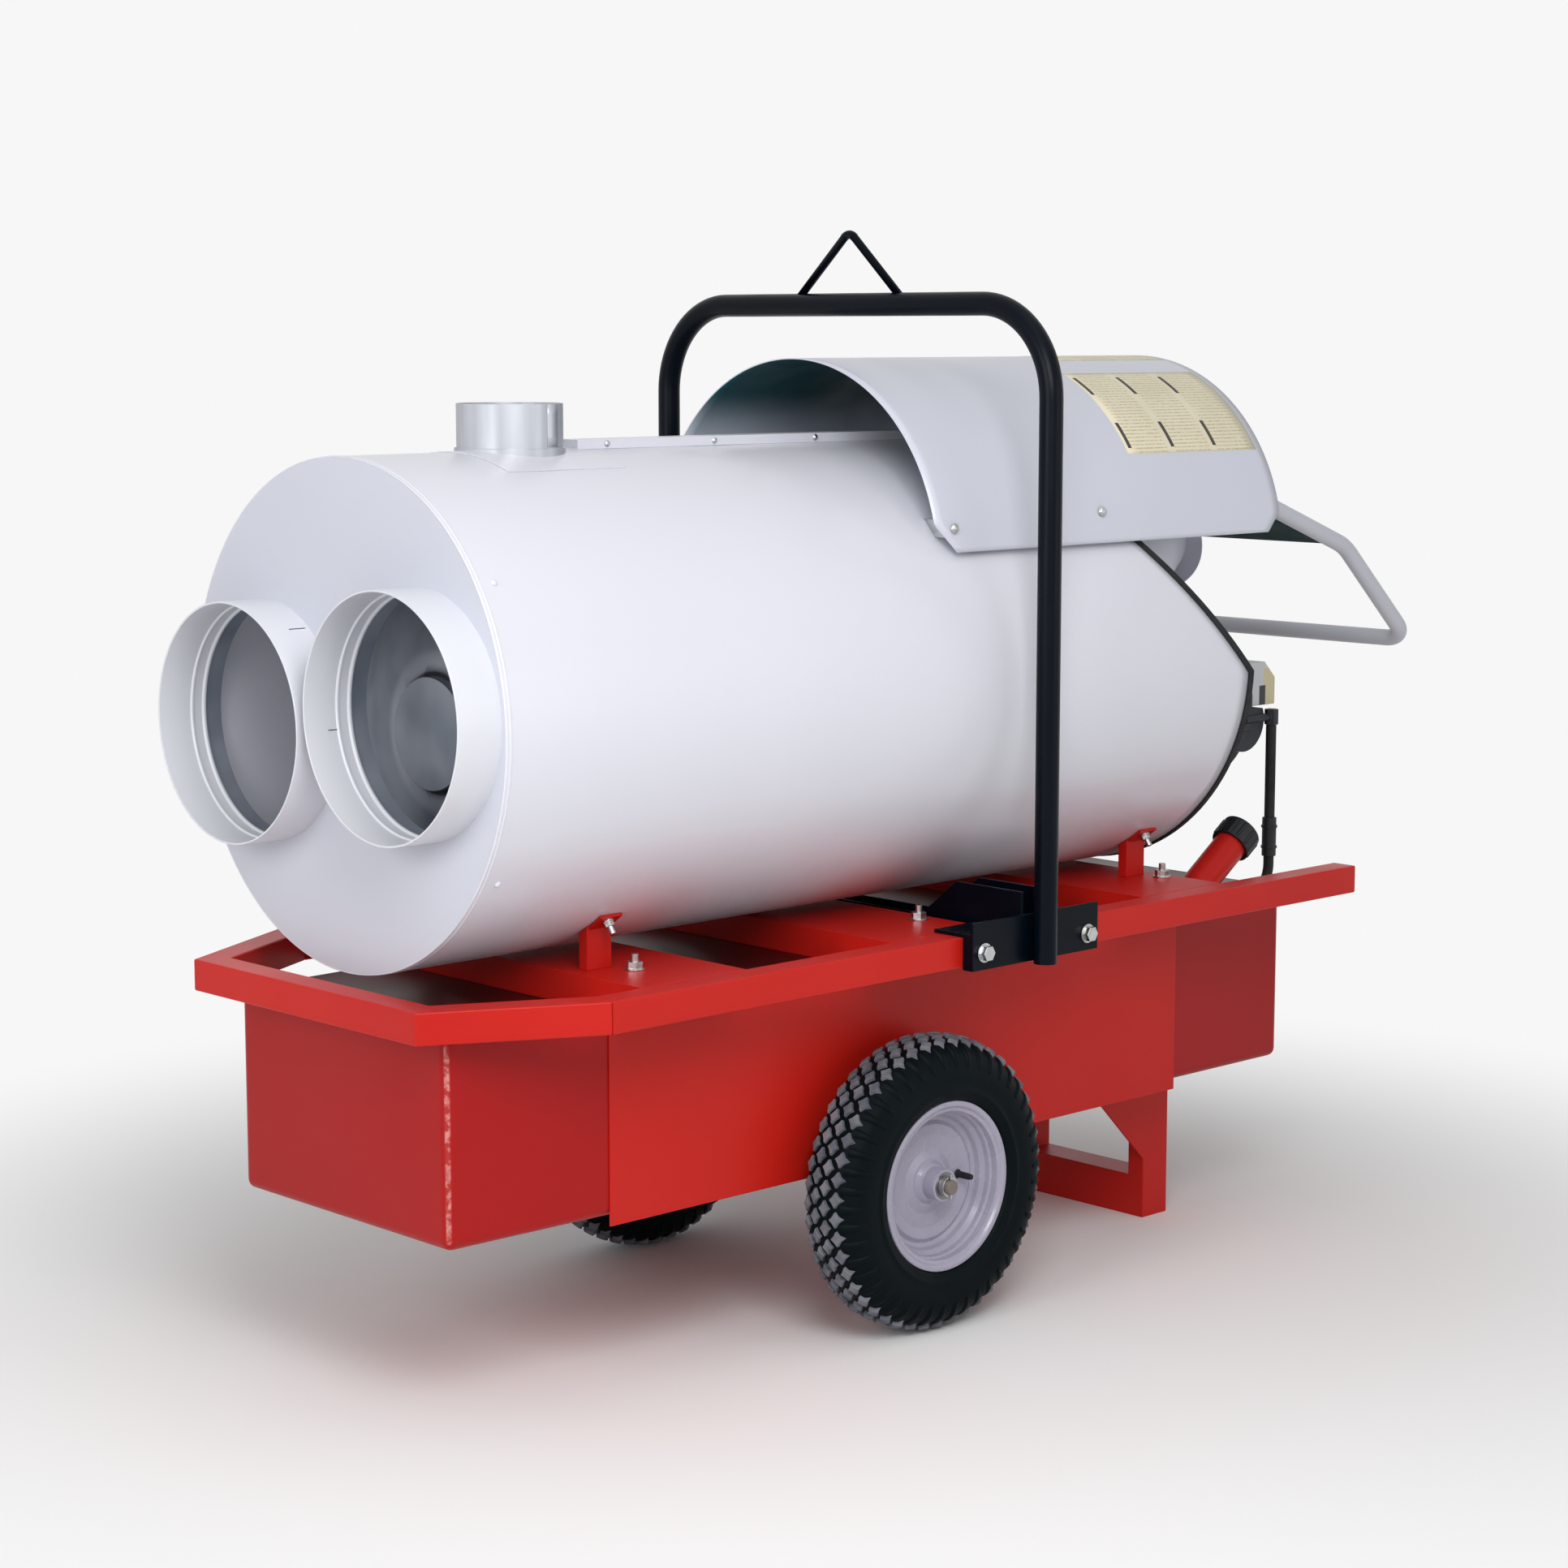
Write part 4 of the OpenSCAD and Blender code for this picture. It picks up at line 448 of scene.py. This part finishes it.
# Trim on the slanted edge, a black rubber channel; the standing seam on top; and the chimney
# collar of galvanised sheet on its saddle.
flue_x, flue_r, saddle_r = -624, 68, 72
galvanised = finish("galvanised", (194, 197, 204), (160, 164, 172), cloud=30, rough=(0.3, 0.44), grain=60,
                    metal=0.35, stretch=(1, 1, 0.06))
softened("edge_trim", rubber, 0.6)
softened("top_seam", light_paint, 0.6)
softened("chimney_collar", galvanised, 0.3, second=light_paint,
         where=lambda middle: math.hypot(middle.x - flue_x, middle.y) > saddle_r)
turn = np.radians([275, 284, 293])
at = np.linspace(1192, 1245.5, 5)[:, None]
lap = grid(flue_x + (flue_r + 0.1) * np.cos(turn), (flue_r + 0.1) * np.sin(turn), at)
put("chimney_lap", lap, [lattice(5, 3)[:, ::-1]], "heater", "bare_steel", galvanised, wall=0.6)
softened("rear_plate", plate_paint, 0.4)
softened("fan_deck", plate_paint, 0.4)
softened("body_screws", zinc, 0.4, second=light_paint,
         where=lambda middle: middle.x < shell_front + 42)

# Inside the body: the heat exchanger's drum with its domed front, and the fire's chamber.
drum_steel = finish("drum_steel", (162, 167, 177), (126, 133, 145), cloud=9, rough=(0.4, 0.6), grain=20,
                    relief=0.3, fine=90, metal=0.3)
drum_z = shell_z - 32
tree = drum_steel.node_tree
# on the dome a painted highlight, a pale ring 78 to 112 mm from its middle, and painted shade, a dark ring
# just inside it
rise = sums(tree, "POWER", sums(tree, "SUBTRACT", along(tree, 2), drum_z / 1000), 2)
spoke = sums(tree, "SQRT", sums(tree, "ADD", rise, sums(tree, "POWER", along(tree, 1), 2)), 0)
front = spread(tree, along(tree, 0), -0.70, -0.74)
pale = sums(tree, "MULTIPLY", spread(tree, spoke, 0.078, 0.086, smooth=True),
            spread(tree, spoke, 0.112, 0.096, smooth=True))
over(drum_steel, sums(tree, "MULTIPLY", sums(tree, "MULTIPLY", pale, front), 0.5), (196, 200, 208))
# painted shade: a dark band 71 to 80 mm from the dome's middle
ring_shade = sums(tree, "MULTIPLY", spread(tree, spoke, 0.071, 0.073), spread(tree, spoke, 0.080, 0.077))
over(drum_steel, sums(tree, "MULTIPLY", ring_shade, front), (62, 66, 74))
softened("heat_exchanger", drum_steel, 0)
softened("combustion_chamber", scaled_steel, 0)

# The fan under the hood: its ring, wire guard, motor on a cross mount, and pressed blades.
grey_paint = finish("grey_paint", (176, 178, 188), (166, 168, 178), cloud=5, rough=(0.32, 0.45), grain=30,
                    relief=0.06, fine=300)
bare_steel = finish("bare_steel", (150, 150, 152), (122, 122, 124), cloud=20, rough=(0.3, 0.5), grain=90,
                    metal=1.0)
softened("fan_ring", plate_paint, 0.6)
softened("fan_guard", zinc, 0)
softened("fan_motor", grey_paint, 1.0)
softened("motor_mount", bare_steel, 0.6)
softened("fan_shaft", bare_steel, 0.3)
softened("fan_blades", grey_paint, 0.4)

# The hood: a half-round of 1.5 mm sheet over the fan, its low corners cut off, grey outside. The inside is
# painted shade, dark teal at the top where little light comes, and painted light lower down, where it turns
# pale.
hood_front, hood_back, hood_r, hood_z, hood_low, front_cut, rear_cut = -128, 602, 280, 1020, 1045, 38, 30
hood_paint = finish("hood_paint", (206, 209, 221), (201, 204, 216), cloud=1.6, rough=(0.28, 0.36), grain=4,
                    relief=0.3, fine=4, coat=0.1)
shadow_blue = finish("shadow_blue", (18, 76, 82), (12, 64, 70), cloud=4, rough=(0.4, 0.55), grain=20,
                     relief=0.05, fine=200, gloss=0.2)
tree = shadow_blue.node_tree
# painted light: the inside turns pale from z 1.255 m down to 1.17 m and below
over(shadow_blue, spread(tree, along(tree, 2), 1.255, 1.17, 0, 0.95, smooth=True), (208, 214, 226))
reach = math.acos((hood_low - hood_z) / hood_r)
angle = np.linspace(-reach, reach, 121)
inset = np.maximum(0, front_cut - (reach - np.abs(angle)) * hood_r)
drawn_in = np.maximum(0, rear_cut - (reach - np.abs(angle)) * hood_r)
share = np.linspace(0, 1, 41)
x = hood_front + inset[None] + share[:, None] * (hood_back - hood_front - inset - drawn_in)[None]
hood = grid(x, hood_r * np.sin(angle), hood_z + hood_r * np.cos(angle))
put("hood_piece", hood, [lattice(len(share), len(angle))[:, ::-1]], "heater", "light_paint", hood_paint,
    ["hood"], wall=sheet_t, inner=shadow_blue)


# The two thin cards stuck on the hood: cream, ruled along the heater with broken ochre lines every
# 0.022 radians of its round, in columns 94 mm wide that each start with short dark bars.
def together(*shapes):
    """Several shapes as one: their points end to end, and their faces renumbered to match."""
    points = [np.reshape(part, (-1, 3)) for part, _ in shapes]
    starts = np.cumsum([0] + [len(part) for part in points])
    return (np.vstack(points),
            [np.asarray(block) + start for (_, blocks), start in zip(shapes, starts) for block in blocks])


def stuck_on(start, end, low, high, lift, columns, rows):
    """A patch of the hood's round from start to end along X and from low to high degrees, lifted off it."""
    turn = np.radians(np.linspace(low, high, rows))
    at = np.linspace(start, end, columns)[:, None]
    patch = grid(at, (hood_r + lift) * np.sin(turn), hood_z + (hood_r + lift) * np.cos(turn))
    return patch, [lattice(columns, rows)]


panel_paint = finish("panel_card", (230, 222, 196), (222, 214, 188), cloud=14, rough=(0.42, 0.55), grain=60,
                     relief=0.02, fine=900)
tree = panel_paint.node_tree
line_turn, column_w = 0.022, 94
lean = sums(tree, "ARCTAN2", along(tree, 1), sums(tree, "SUBTRACT", along(tree, 2), hood_z / 1000))
line = sums(tree, "PINGPONG", sums(tree, "ADD", lean, 2.0), line_turn / 2)
column = sums(tree, "PINGPONG", sums(tree, "SUBTRACT", along(tree, 0), 0.304), column_w / 2000)
ruled = sums(tree, "MULTIPLY", spread(tree, line, 0.0062, 0.0084), spread(tree, column, 0.006, 0.010))
broken = spread(tree, speckle(tree, 260, 2), 0.35, 0.6, 0.1, 0.75)
over(panel_paint, sums(tree, "MULTIPLY", ruled, broken), (176, 160, 112))
cards = [stuck_on(300, 588, -59, -24, 0.35, 13, 25), stuck_on(350, 592, -12, 8, 0.35, 13, 25)]
put("hood_panel", *together(*cards), "heater", "light_paint", panel_paint, wall=0.3)
bar_ink = finish("panel_bars", (44, 40, 40), (60, 54, 52), cloud=40, rough=(0.5, 0.6), grain=90)
bar_l, bar_turn = 7, 9
bars = [stuck_on(start, start + bar_l, low, low + bar_turn, 0.6, 2, 5)
        for start in (306, 306 + column_w, 306 + 2 * column_w) for low in (-57, -36)]
put("hood_panel_bars", *together(*bars), "heater", "light_paint", bar_ink, wall=0.25)

# Behind the hood: the tail sheet between the handle's arms, the zinc clips that hold the hood on,
# and the handle, bent from 25.4 mm tube, that comes out under it.
# the tail sheet's dark teal is painted shade, the shade under the hood, on both its faces
tail_shade = finish("tail_shade", (2, 44, 46), (1, 36, 39), cloud=4, rough=(0.5, 0.62), grain=20, gloss=0.03)
softened("tail_sheet", tail_shade, 0.4)
softened("hood_clips", zinc, 0.6)
handle_paint = finish("handle_paint", (190, 192, 200), (181, 183, 192), cloud=3, rough=(0.38, 0.46), grain=12,
                      relief=0.01, fine=90)
handle_y, handle_r = 256.9, 12.7
tube = [(x, -handle_y, z) for x, z in ((190, 1088), (582, 1088), (785, 1014.1), (951.3, 861.7))]
tube += [(x, -y, z) for x, y, z in tube[::-1]]
grip = rounded(tube, [0, 90, 90, 40, 40, 90, 90, 0], steps=10)
put("handle_piece", *carried(circle(handle_r, 28), grip, (0, 0, 1)), "heater", "grey_paint", handle_paint,
    ["handle"])

# The burner on the rear plate: blast tube, blower housing with its motor and pump, the wheel
# inside, the control unit with its red reset button, and the turning air shutter.
burner_grey = finish("burner_grey", (16, 19, 32), (11, 14, 25), cloud=8, rough=(0.4, 0.55), grain=60,
                     relief=0.12, fine=600)
control_grey = finish("control_grey", (196, 198, 200), (184, 186, 190), cloud=8, rough=(0.4, 0.52), grain=60,
                      relief=0.05, fine=600)
pump_grey = finish("pump_grey", (24, 27, 38), (17, 20, 30), cloud=10, rough=(0.4, 0.55), grain=70,
                   relief=0.15, fine=700, metal=0.3)
red_plastic = finish("red_plastic", (190, 28, 22), (176, 22, 18), cloud=12, rough=(0.25, 0.38), grain=60)
tree = control_grey.node_tree
# a cream terminal block behind x 744 and below z 823 mm, and a dark slot at its front edge
back_to, up_to = along(tree, 0), along(tree, 2)
block = sums(tree, "MULTIPLY", spread(tree, back_to, 0.744, 0.745), spread(tree, up_to, 0.823, 0.821))
over(control_grey, block, (198, 186, 150))
slot = sums(tree, "MULTIPLY", spread(tree, back_to, 0.734, 0.735), spread(tree, back_to, 0.750, 0.749))
over(control_grey, sums(tree, "MULTIPLY", slot, spread(tree, up_to, 0.796, 0.795)), (30, 30, 34))
softened("blast_tube", scaled_steel, 0.4)
softened("nozzle_assembly", brass, 0.3)
softened("blower_housing", burner_grey, 1.2)
softened("blower_wheel", bare_steel, 0.2)
softened("burner_motor", black_paint, 1.2)
softened("fuel_pump", pump_grey, 1.0)
softened("burner_control", control_grey, 1.5)
softened("reset_button", red_plastic, 0.8)
softened("air_shutter", black_paint, 0.5)

# The control box on the rear plate, with the thermostat's knob and a rocker switch.
box_grey = finish("box_grey", (150, 152, 160), (140, 142, 150), cloud=5, rough=(0.34, 0.46), grain=30,
                  relief=0.05, fine=400)
softened("control_box", box_grey, 2.0)
softened("thermostat_knob", black_plastic, 1.0)
softened("power_switch", black_plastic, 0.8)

# The wheels: pressed steel rims on roller bearings, and pneumatic tyres with a tread of raised
# diamonds and lugs over the shoulders. The axle is square bar with round ends, kept by split pins.
axle_x, axle_z, tyre_y = -153, 202, 286
crown_r = 196.5
tyre_side = finish("tyre_rubber", (4, 12, 15), (7, 16, 19), cloud=10, rough=(0.42, 0.56), grain=30,
                   relief=0.1, fine=500, gloss=0.06)
tread_top = finish("tread_rubber", (84, 88, 97), (122, 124, 131), cloud=40, rough=(0.7, 0.85), grain=120,
                   relief=0.2, fine=500, gloss=0.15)
rim_paint = finish("rim_paint", (164, 160, 177), (154, 150, 168), cloud=8, rough=(0.22, 0.36), grain=40,
                   relief=0.05, fine=400, coat=0.2)


def crown(v):
    """The tread's radius at v across the tyre: crown_r less 0.0052 v squared and a little v to the fourth."""
    return crown_r - 0.0052 * v ** 2 - 0.0000009 * v ** 4


def lugs_round(count, edge, width, height):
    """Ribs over the shoulder: each runs along the points of edge, (across, radius), and thins out down it.

    Its section is a low flat ridge: height times (1 - t to the power 4), with t from -1 to 1 across it.
    Its height fades towards both ends, and its foot is sunk in the tyre."""
    edge = np.asarray(edge, float)
    run = np.gradient(edge, axis=0)
    out = np.stack([-run[:, 1], run[:, 0]], axis=1) * np.sign(edge[0, 0])
    out /= np.linalg.norm(out, axis=1, keepdims=True)
    fade = np.sin(np.pi * np.linspace(0.04, 0.96, len(edge))) ** 0.4
    t = np.array([-1, -0.72, 0, 0.72, 1])
    sunk = 1.5
    lift = (height * fade[:, None] + sunk) * (1 - t ** 4)[None] - sunk
    v = edge[:, :1] + out[:, :1] * lift
    r = edge[:, 1:] + out[:, 1:] * lift
    taper = np.linspace(1, 0.55, len(edge))[:, None]
    a = ((np.arange(count) + 0.5) * 2 * np.pi / count)[:, None, None]
    u = a + (t[None] * taper * width / 2 / r)[None]
    points = grid(r * np.sin(u), v, r * np.cos(u))
    faces = np.arange(count)[:, None, None] * len(edge) * len(t) + lattice(len(edge), len(t))[None]
    return points, [faces.reshape(-1, 4)]


def blocks_round(count, row, length, width, height, start):
    """Raised diamonds round the tyre: each is three outlines, drawn in as they rise, bent to the crown.

    An outline's eight corners lie on an ellipse, and every second one is pulled in to 0.62 of it."""
    tread_r = 200  # where lengths round the tyre are measured
    a = (np.arange(count) + start) * 2 * np.pi / count
    corner = np.linspace(0, 2 * np.pi, 8, endpoint=False)
    bulge = np.where(np.arange(8) % 2 == 0, 1.0, 0.62)
    along_u, across_v = np.cos(corner) * bulge * length / 2, np.sin(corner) * bulge * width / 2
    rings = []
    for grow, lift in ((1.12, -4.0), (1.06, height * 0.75), (0.9, height)):
        v = row + across_v * grow
        u = a[:, None] + along_u * grow / tread_r
        r = crown(v) + lift
        rings.append(grid(r * np.sin(u), v, r * np.cos(u)))
    points = np.stack(rings, axis=1)
    base = np.arange(count)[:, None, None] * 24
    sides = base + lattice(3, 8, False, True)[None]
    tops = base[:, 0] + 16 + np.arange(8)[None]
    return points, [sides.reshape(-1, 4), tops]


tread_count, tread_high, lug_high = 46, 5.0, 2.6
for side, hand in ((-1, "right"), (1, "left")):
    tyre, rim, body = "tyre_" + hand, "rim_" + hand, "wheel_" + hand
    place = np.array([axle_x, side * tyre_y, axle_z])
    # the tyre's section as (radius, across): from one bead up to the crown, mirrored, and back inside
    outer = [(102, -36), (104, -38.4), (116.6, -41), (117.5, -44), (121, -46.6), (128, -48), (129.5, -49.2),
             (132, -49.2), (133.5, -48.2), (140, -49.2), (147, -49.8), (154, -49.9), (161, -49.2),
             (168, -47.6), (174, -45.2), (179, -42.2), (183, -38.6), (186.4, -34), (crown(-29), -29),
             (crown(-20), -20), (crown(0), 0)]
    outer += [(r, -h) for r, h in outer[-2::-1]] + [(102, 30), (150, 40), (180, 20), (186, 0), (180, -20),
                                                   (150, -40), (102, -30)]
    carcass = turned(outer, place, (0, 1, 0), 144)
    put(tyre + "_carcass", *carcass, body, "tyre_rubber", tyre_side, [tyre], crease=50)
    rows = [blocks_round(tread_count, v, 20.5, 15.5, tread_high, k * 0.5)
            for k, v in enumerate((-25.5, -8.5, 8.5, 25.5))]
    points, faces = together(*rows)
    put(tyre + "_tread", points + place, faces, body, "tyre_rubber", tread_top, crease=25)
    down = np.array([(30, 190.6), (34, 187.5), (38.6, 183), (42.2, 179), (45.2, 174), (47.6, 168),
                     (49, 162.5)])
    points, faces = together(*(lugs_round(tread_count, down * (way, 1), 15, lug_high) for way in (-1, 1)))
    put(tyre + "_lugs", points + place, faces, body, "tyre_rubber", tyre_side, crease=60)
    # the rim's section: its outer flange, well and dished disc, the hub, and back behind the disc
    line = [(116, 41), (116, 43.5), (109, 43.5), (105.5, 39), (104, 31), (98.5, 27), (97.5, 20), (92, 15),
            (89.5, 8), (84, 5), (78, 9), (64, 5.5), (44, 5.5), (33, 10), (30, 10), (25, 15), (22, 16),
            (22, 37.5), (18.2, 37.5), (18.2, -56.5), (22, -56.5), (22, 12.5), (33, 7), (44, 2.5), (64, 2.5),
            (78, 6), (84, 2), (86, -8), (98.5, -22), (98.5, -38), (105.5, -43.5), (116, -43.5), (116, -41),
            (101.4, -39), (101.4, -22), (89.5, -8), (92.5, 8), (95.5, 16), (101.2, 21), (101.4, 39)]
    pressed = lathe(line, [1, 2, 3, 3, 2, 2, 2, 2, 2, 2, 3, 4, 4, 1.2, 1.2, 1.5, 1.5, 0.6] + [0.4] * 22,
                    place, (0, side, 0), 128)
    put(rim + "_piece", *pressed, body, "grey_paint", rim_paint, [rim], crease=50)
    stem = lathe([(0, 2), (6.5, 2), (6.5, 6), (4.6, 9), (4.6, 26), (3.9, 27), (3.9, 32), (0, 32)],
                 [0, 0, 1, 1, 0.5, 0, 0.8, 0], place + (58, 0, 0), (0, side, 0), 24)
    put(rim + "_valve", *stem, body, "rubber", rubber, crease=40)
    softened("bearings_" + hand, bare_steel, 0.3)
axle_paint = finish("axle_paint", (176, 40, 36), (160, 34, 32), cloud=3, rough=(0.3, 0.42), grain=10)
tree = axle_paint.node_tree
over(axle_paint, spread(tree, sums(tree, "ABSOLUTE", along(tree, 1), 0), 0.229, 0.231), (116, 104, 98))
softened("axle", axle_paint, 1.2)
softened("axle_hardware", zinc, 0.5)
softened("rear_stand", red_paint, 1.5)


# A plain pale floor that fades into the pale room between 0.7 and 2 m from the middle, and the
# soft lamps of a studio.
def on_show(tree):
    """1 on rays from the camera, off a gloss or through glass, and 0 on rays that only carry light."""
    paths = tree.nodes.new("ShaderNodeLightPath")
    seen = sums(tree, "MAXIMUM", paths.outputs["Is Camera Ray"], paths.outputs["Is Glossy Ray"])
    return sums(tree, "MAXIMUM", seen, paths.outputs["Is Transmission Ray"])


room_white = (0.93, 0.93, 0.93, 1)
floor_paint = bpy.data.materials.new("floor")
floor_paint.use_nodes = True
tree = floor_paint.node_tree
shader = tree.nodes["Principled BSDF"]
shader.inputs["Base Color"].default_value = (0.92, 0.92, 0.92, 1)
shader.inputs["Roughness"].default_value = 0.9
shader.inputs["Specular IOR Level"].default_value = 0.1
room = tree.nodes.new("ShaderNodeEmission")
room.inputs["Color"].default_value = room_white
lit = tree.nodes.new("ShaderNodeMixShader")
length = tree.nodes.new("ShaderNodeVectorMath")
length.operation = "LENGTH"
tree.links.new(tree.nodes.new("ShaderNodeTexCoord").outputs["Object"], length.inputs[0])
far = spread(tree, length.outputs["Value"], 0.7, 2.0, smooth=True)
tree.links.new(sums(tree, "MULTIPLY", on_show(tree), far), lit.inputs[0])
tree.links.new(shader.outputs[0], lit.inputs[1])
tree.links.new(room.outputs[0], lit.inputs[2])
tree.links.new(lit.outputs[0], tree.nodes["Material Output"].inputs["Surface"])
ground = bpy.data.meshes.new("floor")
ground.from_pydata([(-30, -30, 0), (30, -30, 0), (30, 30, 0), (-30, 30, 0)], [], [(0, 1, 2, 3)])
ground.materials.append(floor_paint)
floor = bpy.data.objects.new("floor", ground)
bpy.context.scene.collection.objects.link(floor)

bpy.context.scene.view_settings.view_transform = "Standard"
world = bpy.data.worlds.new("room")
bpy.context.scene.world = world
world.use_nodes = True
tree = world.node_tree
sky = tree.nodes["Background"]
sky.inputs["Color"].default_value = room_white
tree.links.new(spread(tree, on_show(tree), 0, 1, 0.42, 1.0), sky.inputs["Strength"])


def lamp(name, place, at, size, power):
    """A square soft lamp at a place, turned to face a point; sizes in metres, power in watts."""
    light = bpy.data.lights.new(name, "AREA")
    light.size = size
    light.energy = power
    shown = bpy.data.objects.new(name, light)
    shown.location = place
    shown.rotation_euler = (Vector(at) - Vector(place)).to_track_quat("-Z", "Y").to_euler()
    bpy.context.scene.collection.objects.link(shown)


lamp("overhead", (-0.8, -1.4, 4.2), (-0.3, 0, 0.8), 2.4, 13)
lamp("front_left", (-4.4, -0.8, 1.9), (-0.8, 0, 0.8), 2.0, 54)
lamp("key", (-1.7, -2.1, 2.2), (-0.6, -0.2, 0.8), 1.3, 41)
lamp("front_right", (1.4, -4.4, 1.4), (0.3, 0, 0.6), 2.0, 15)
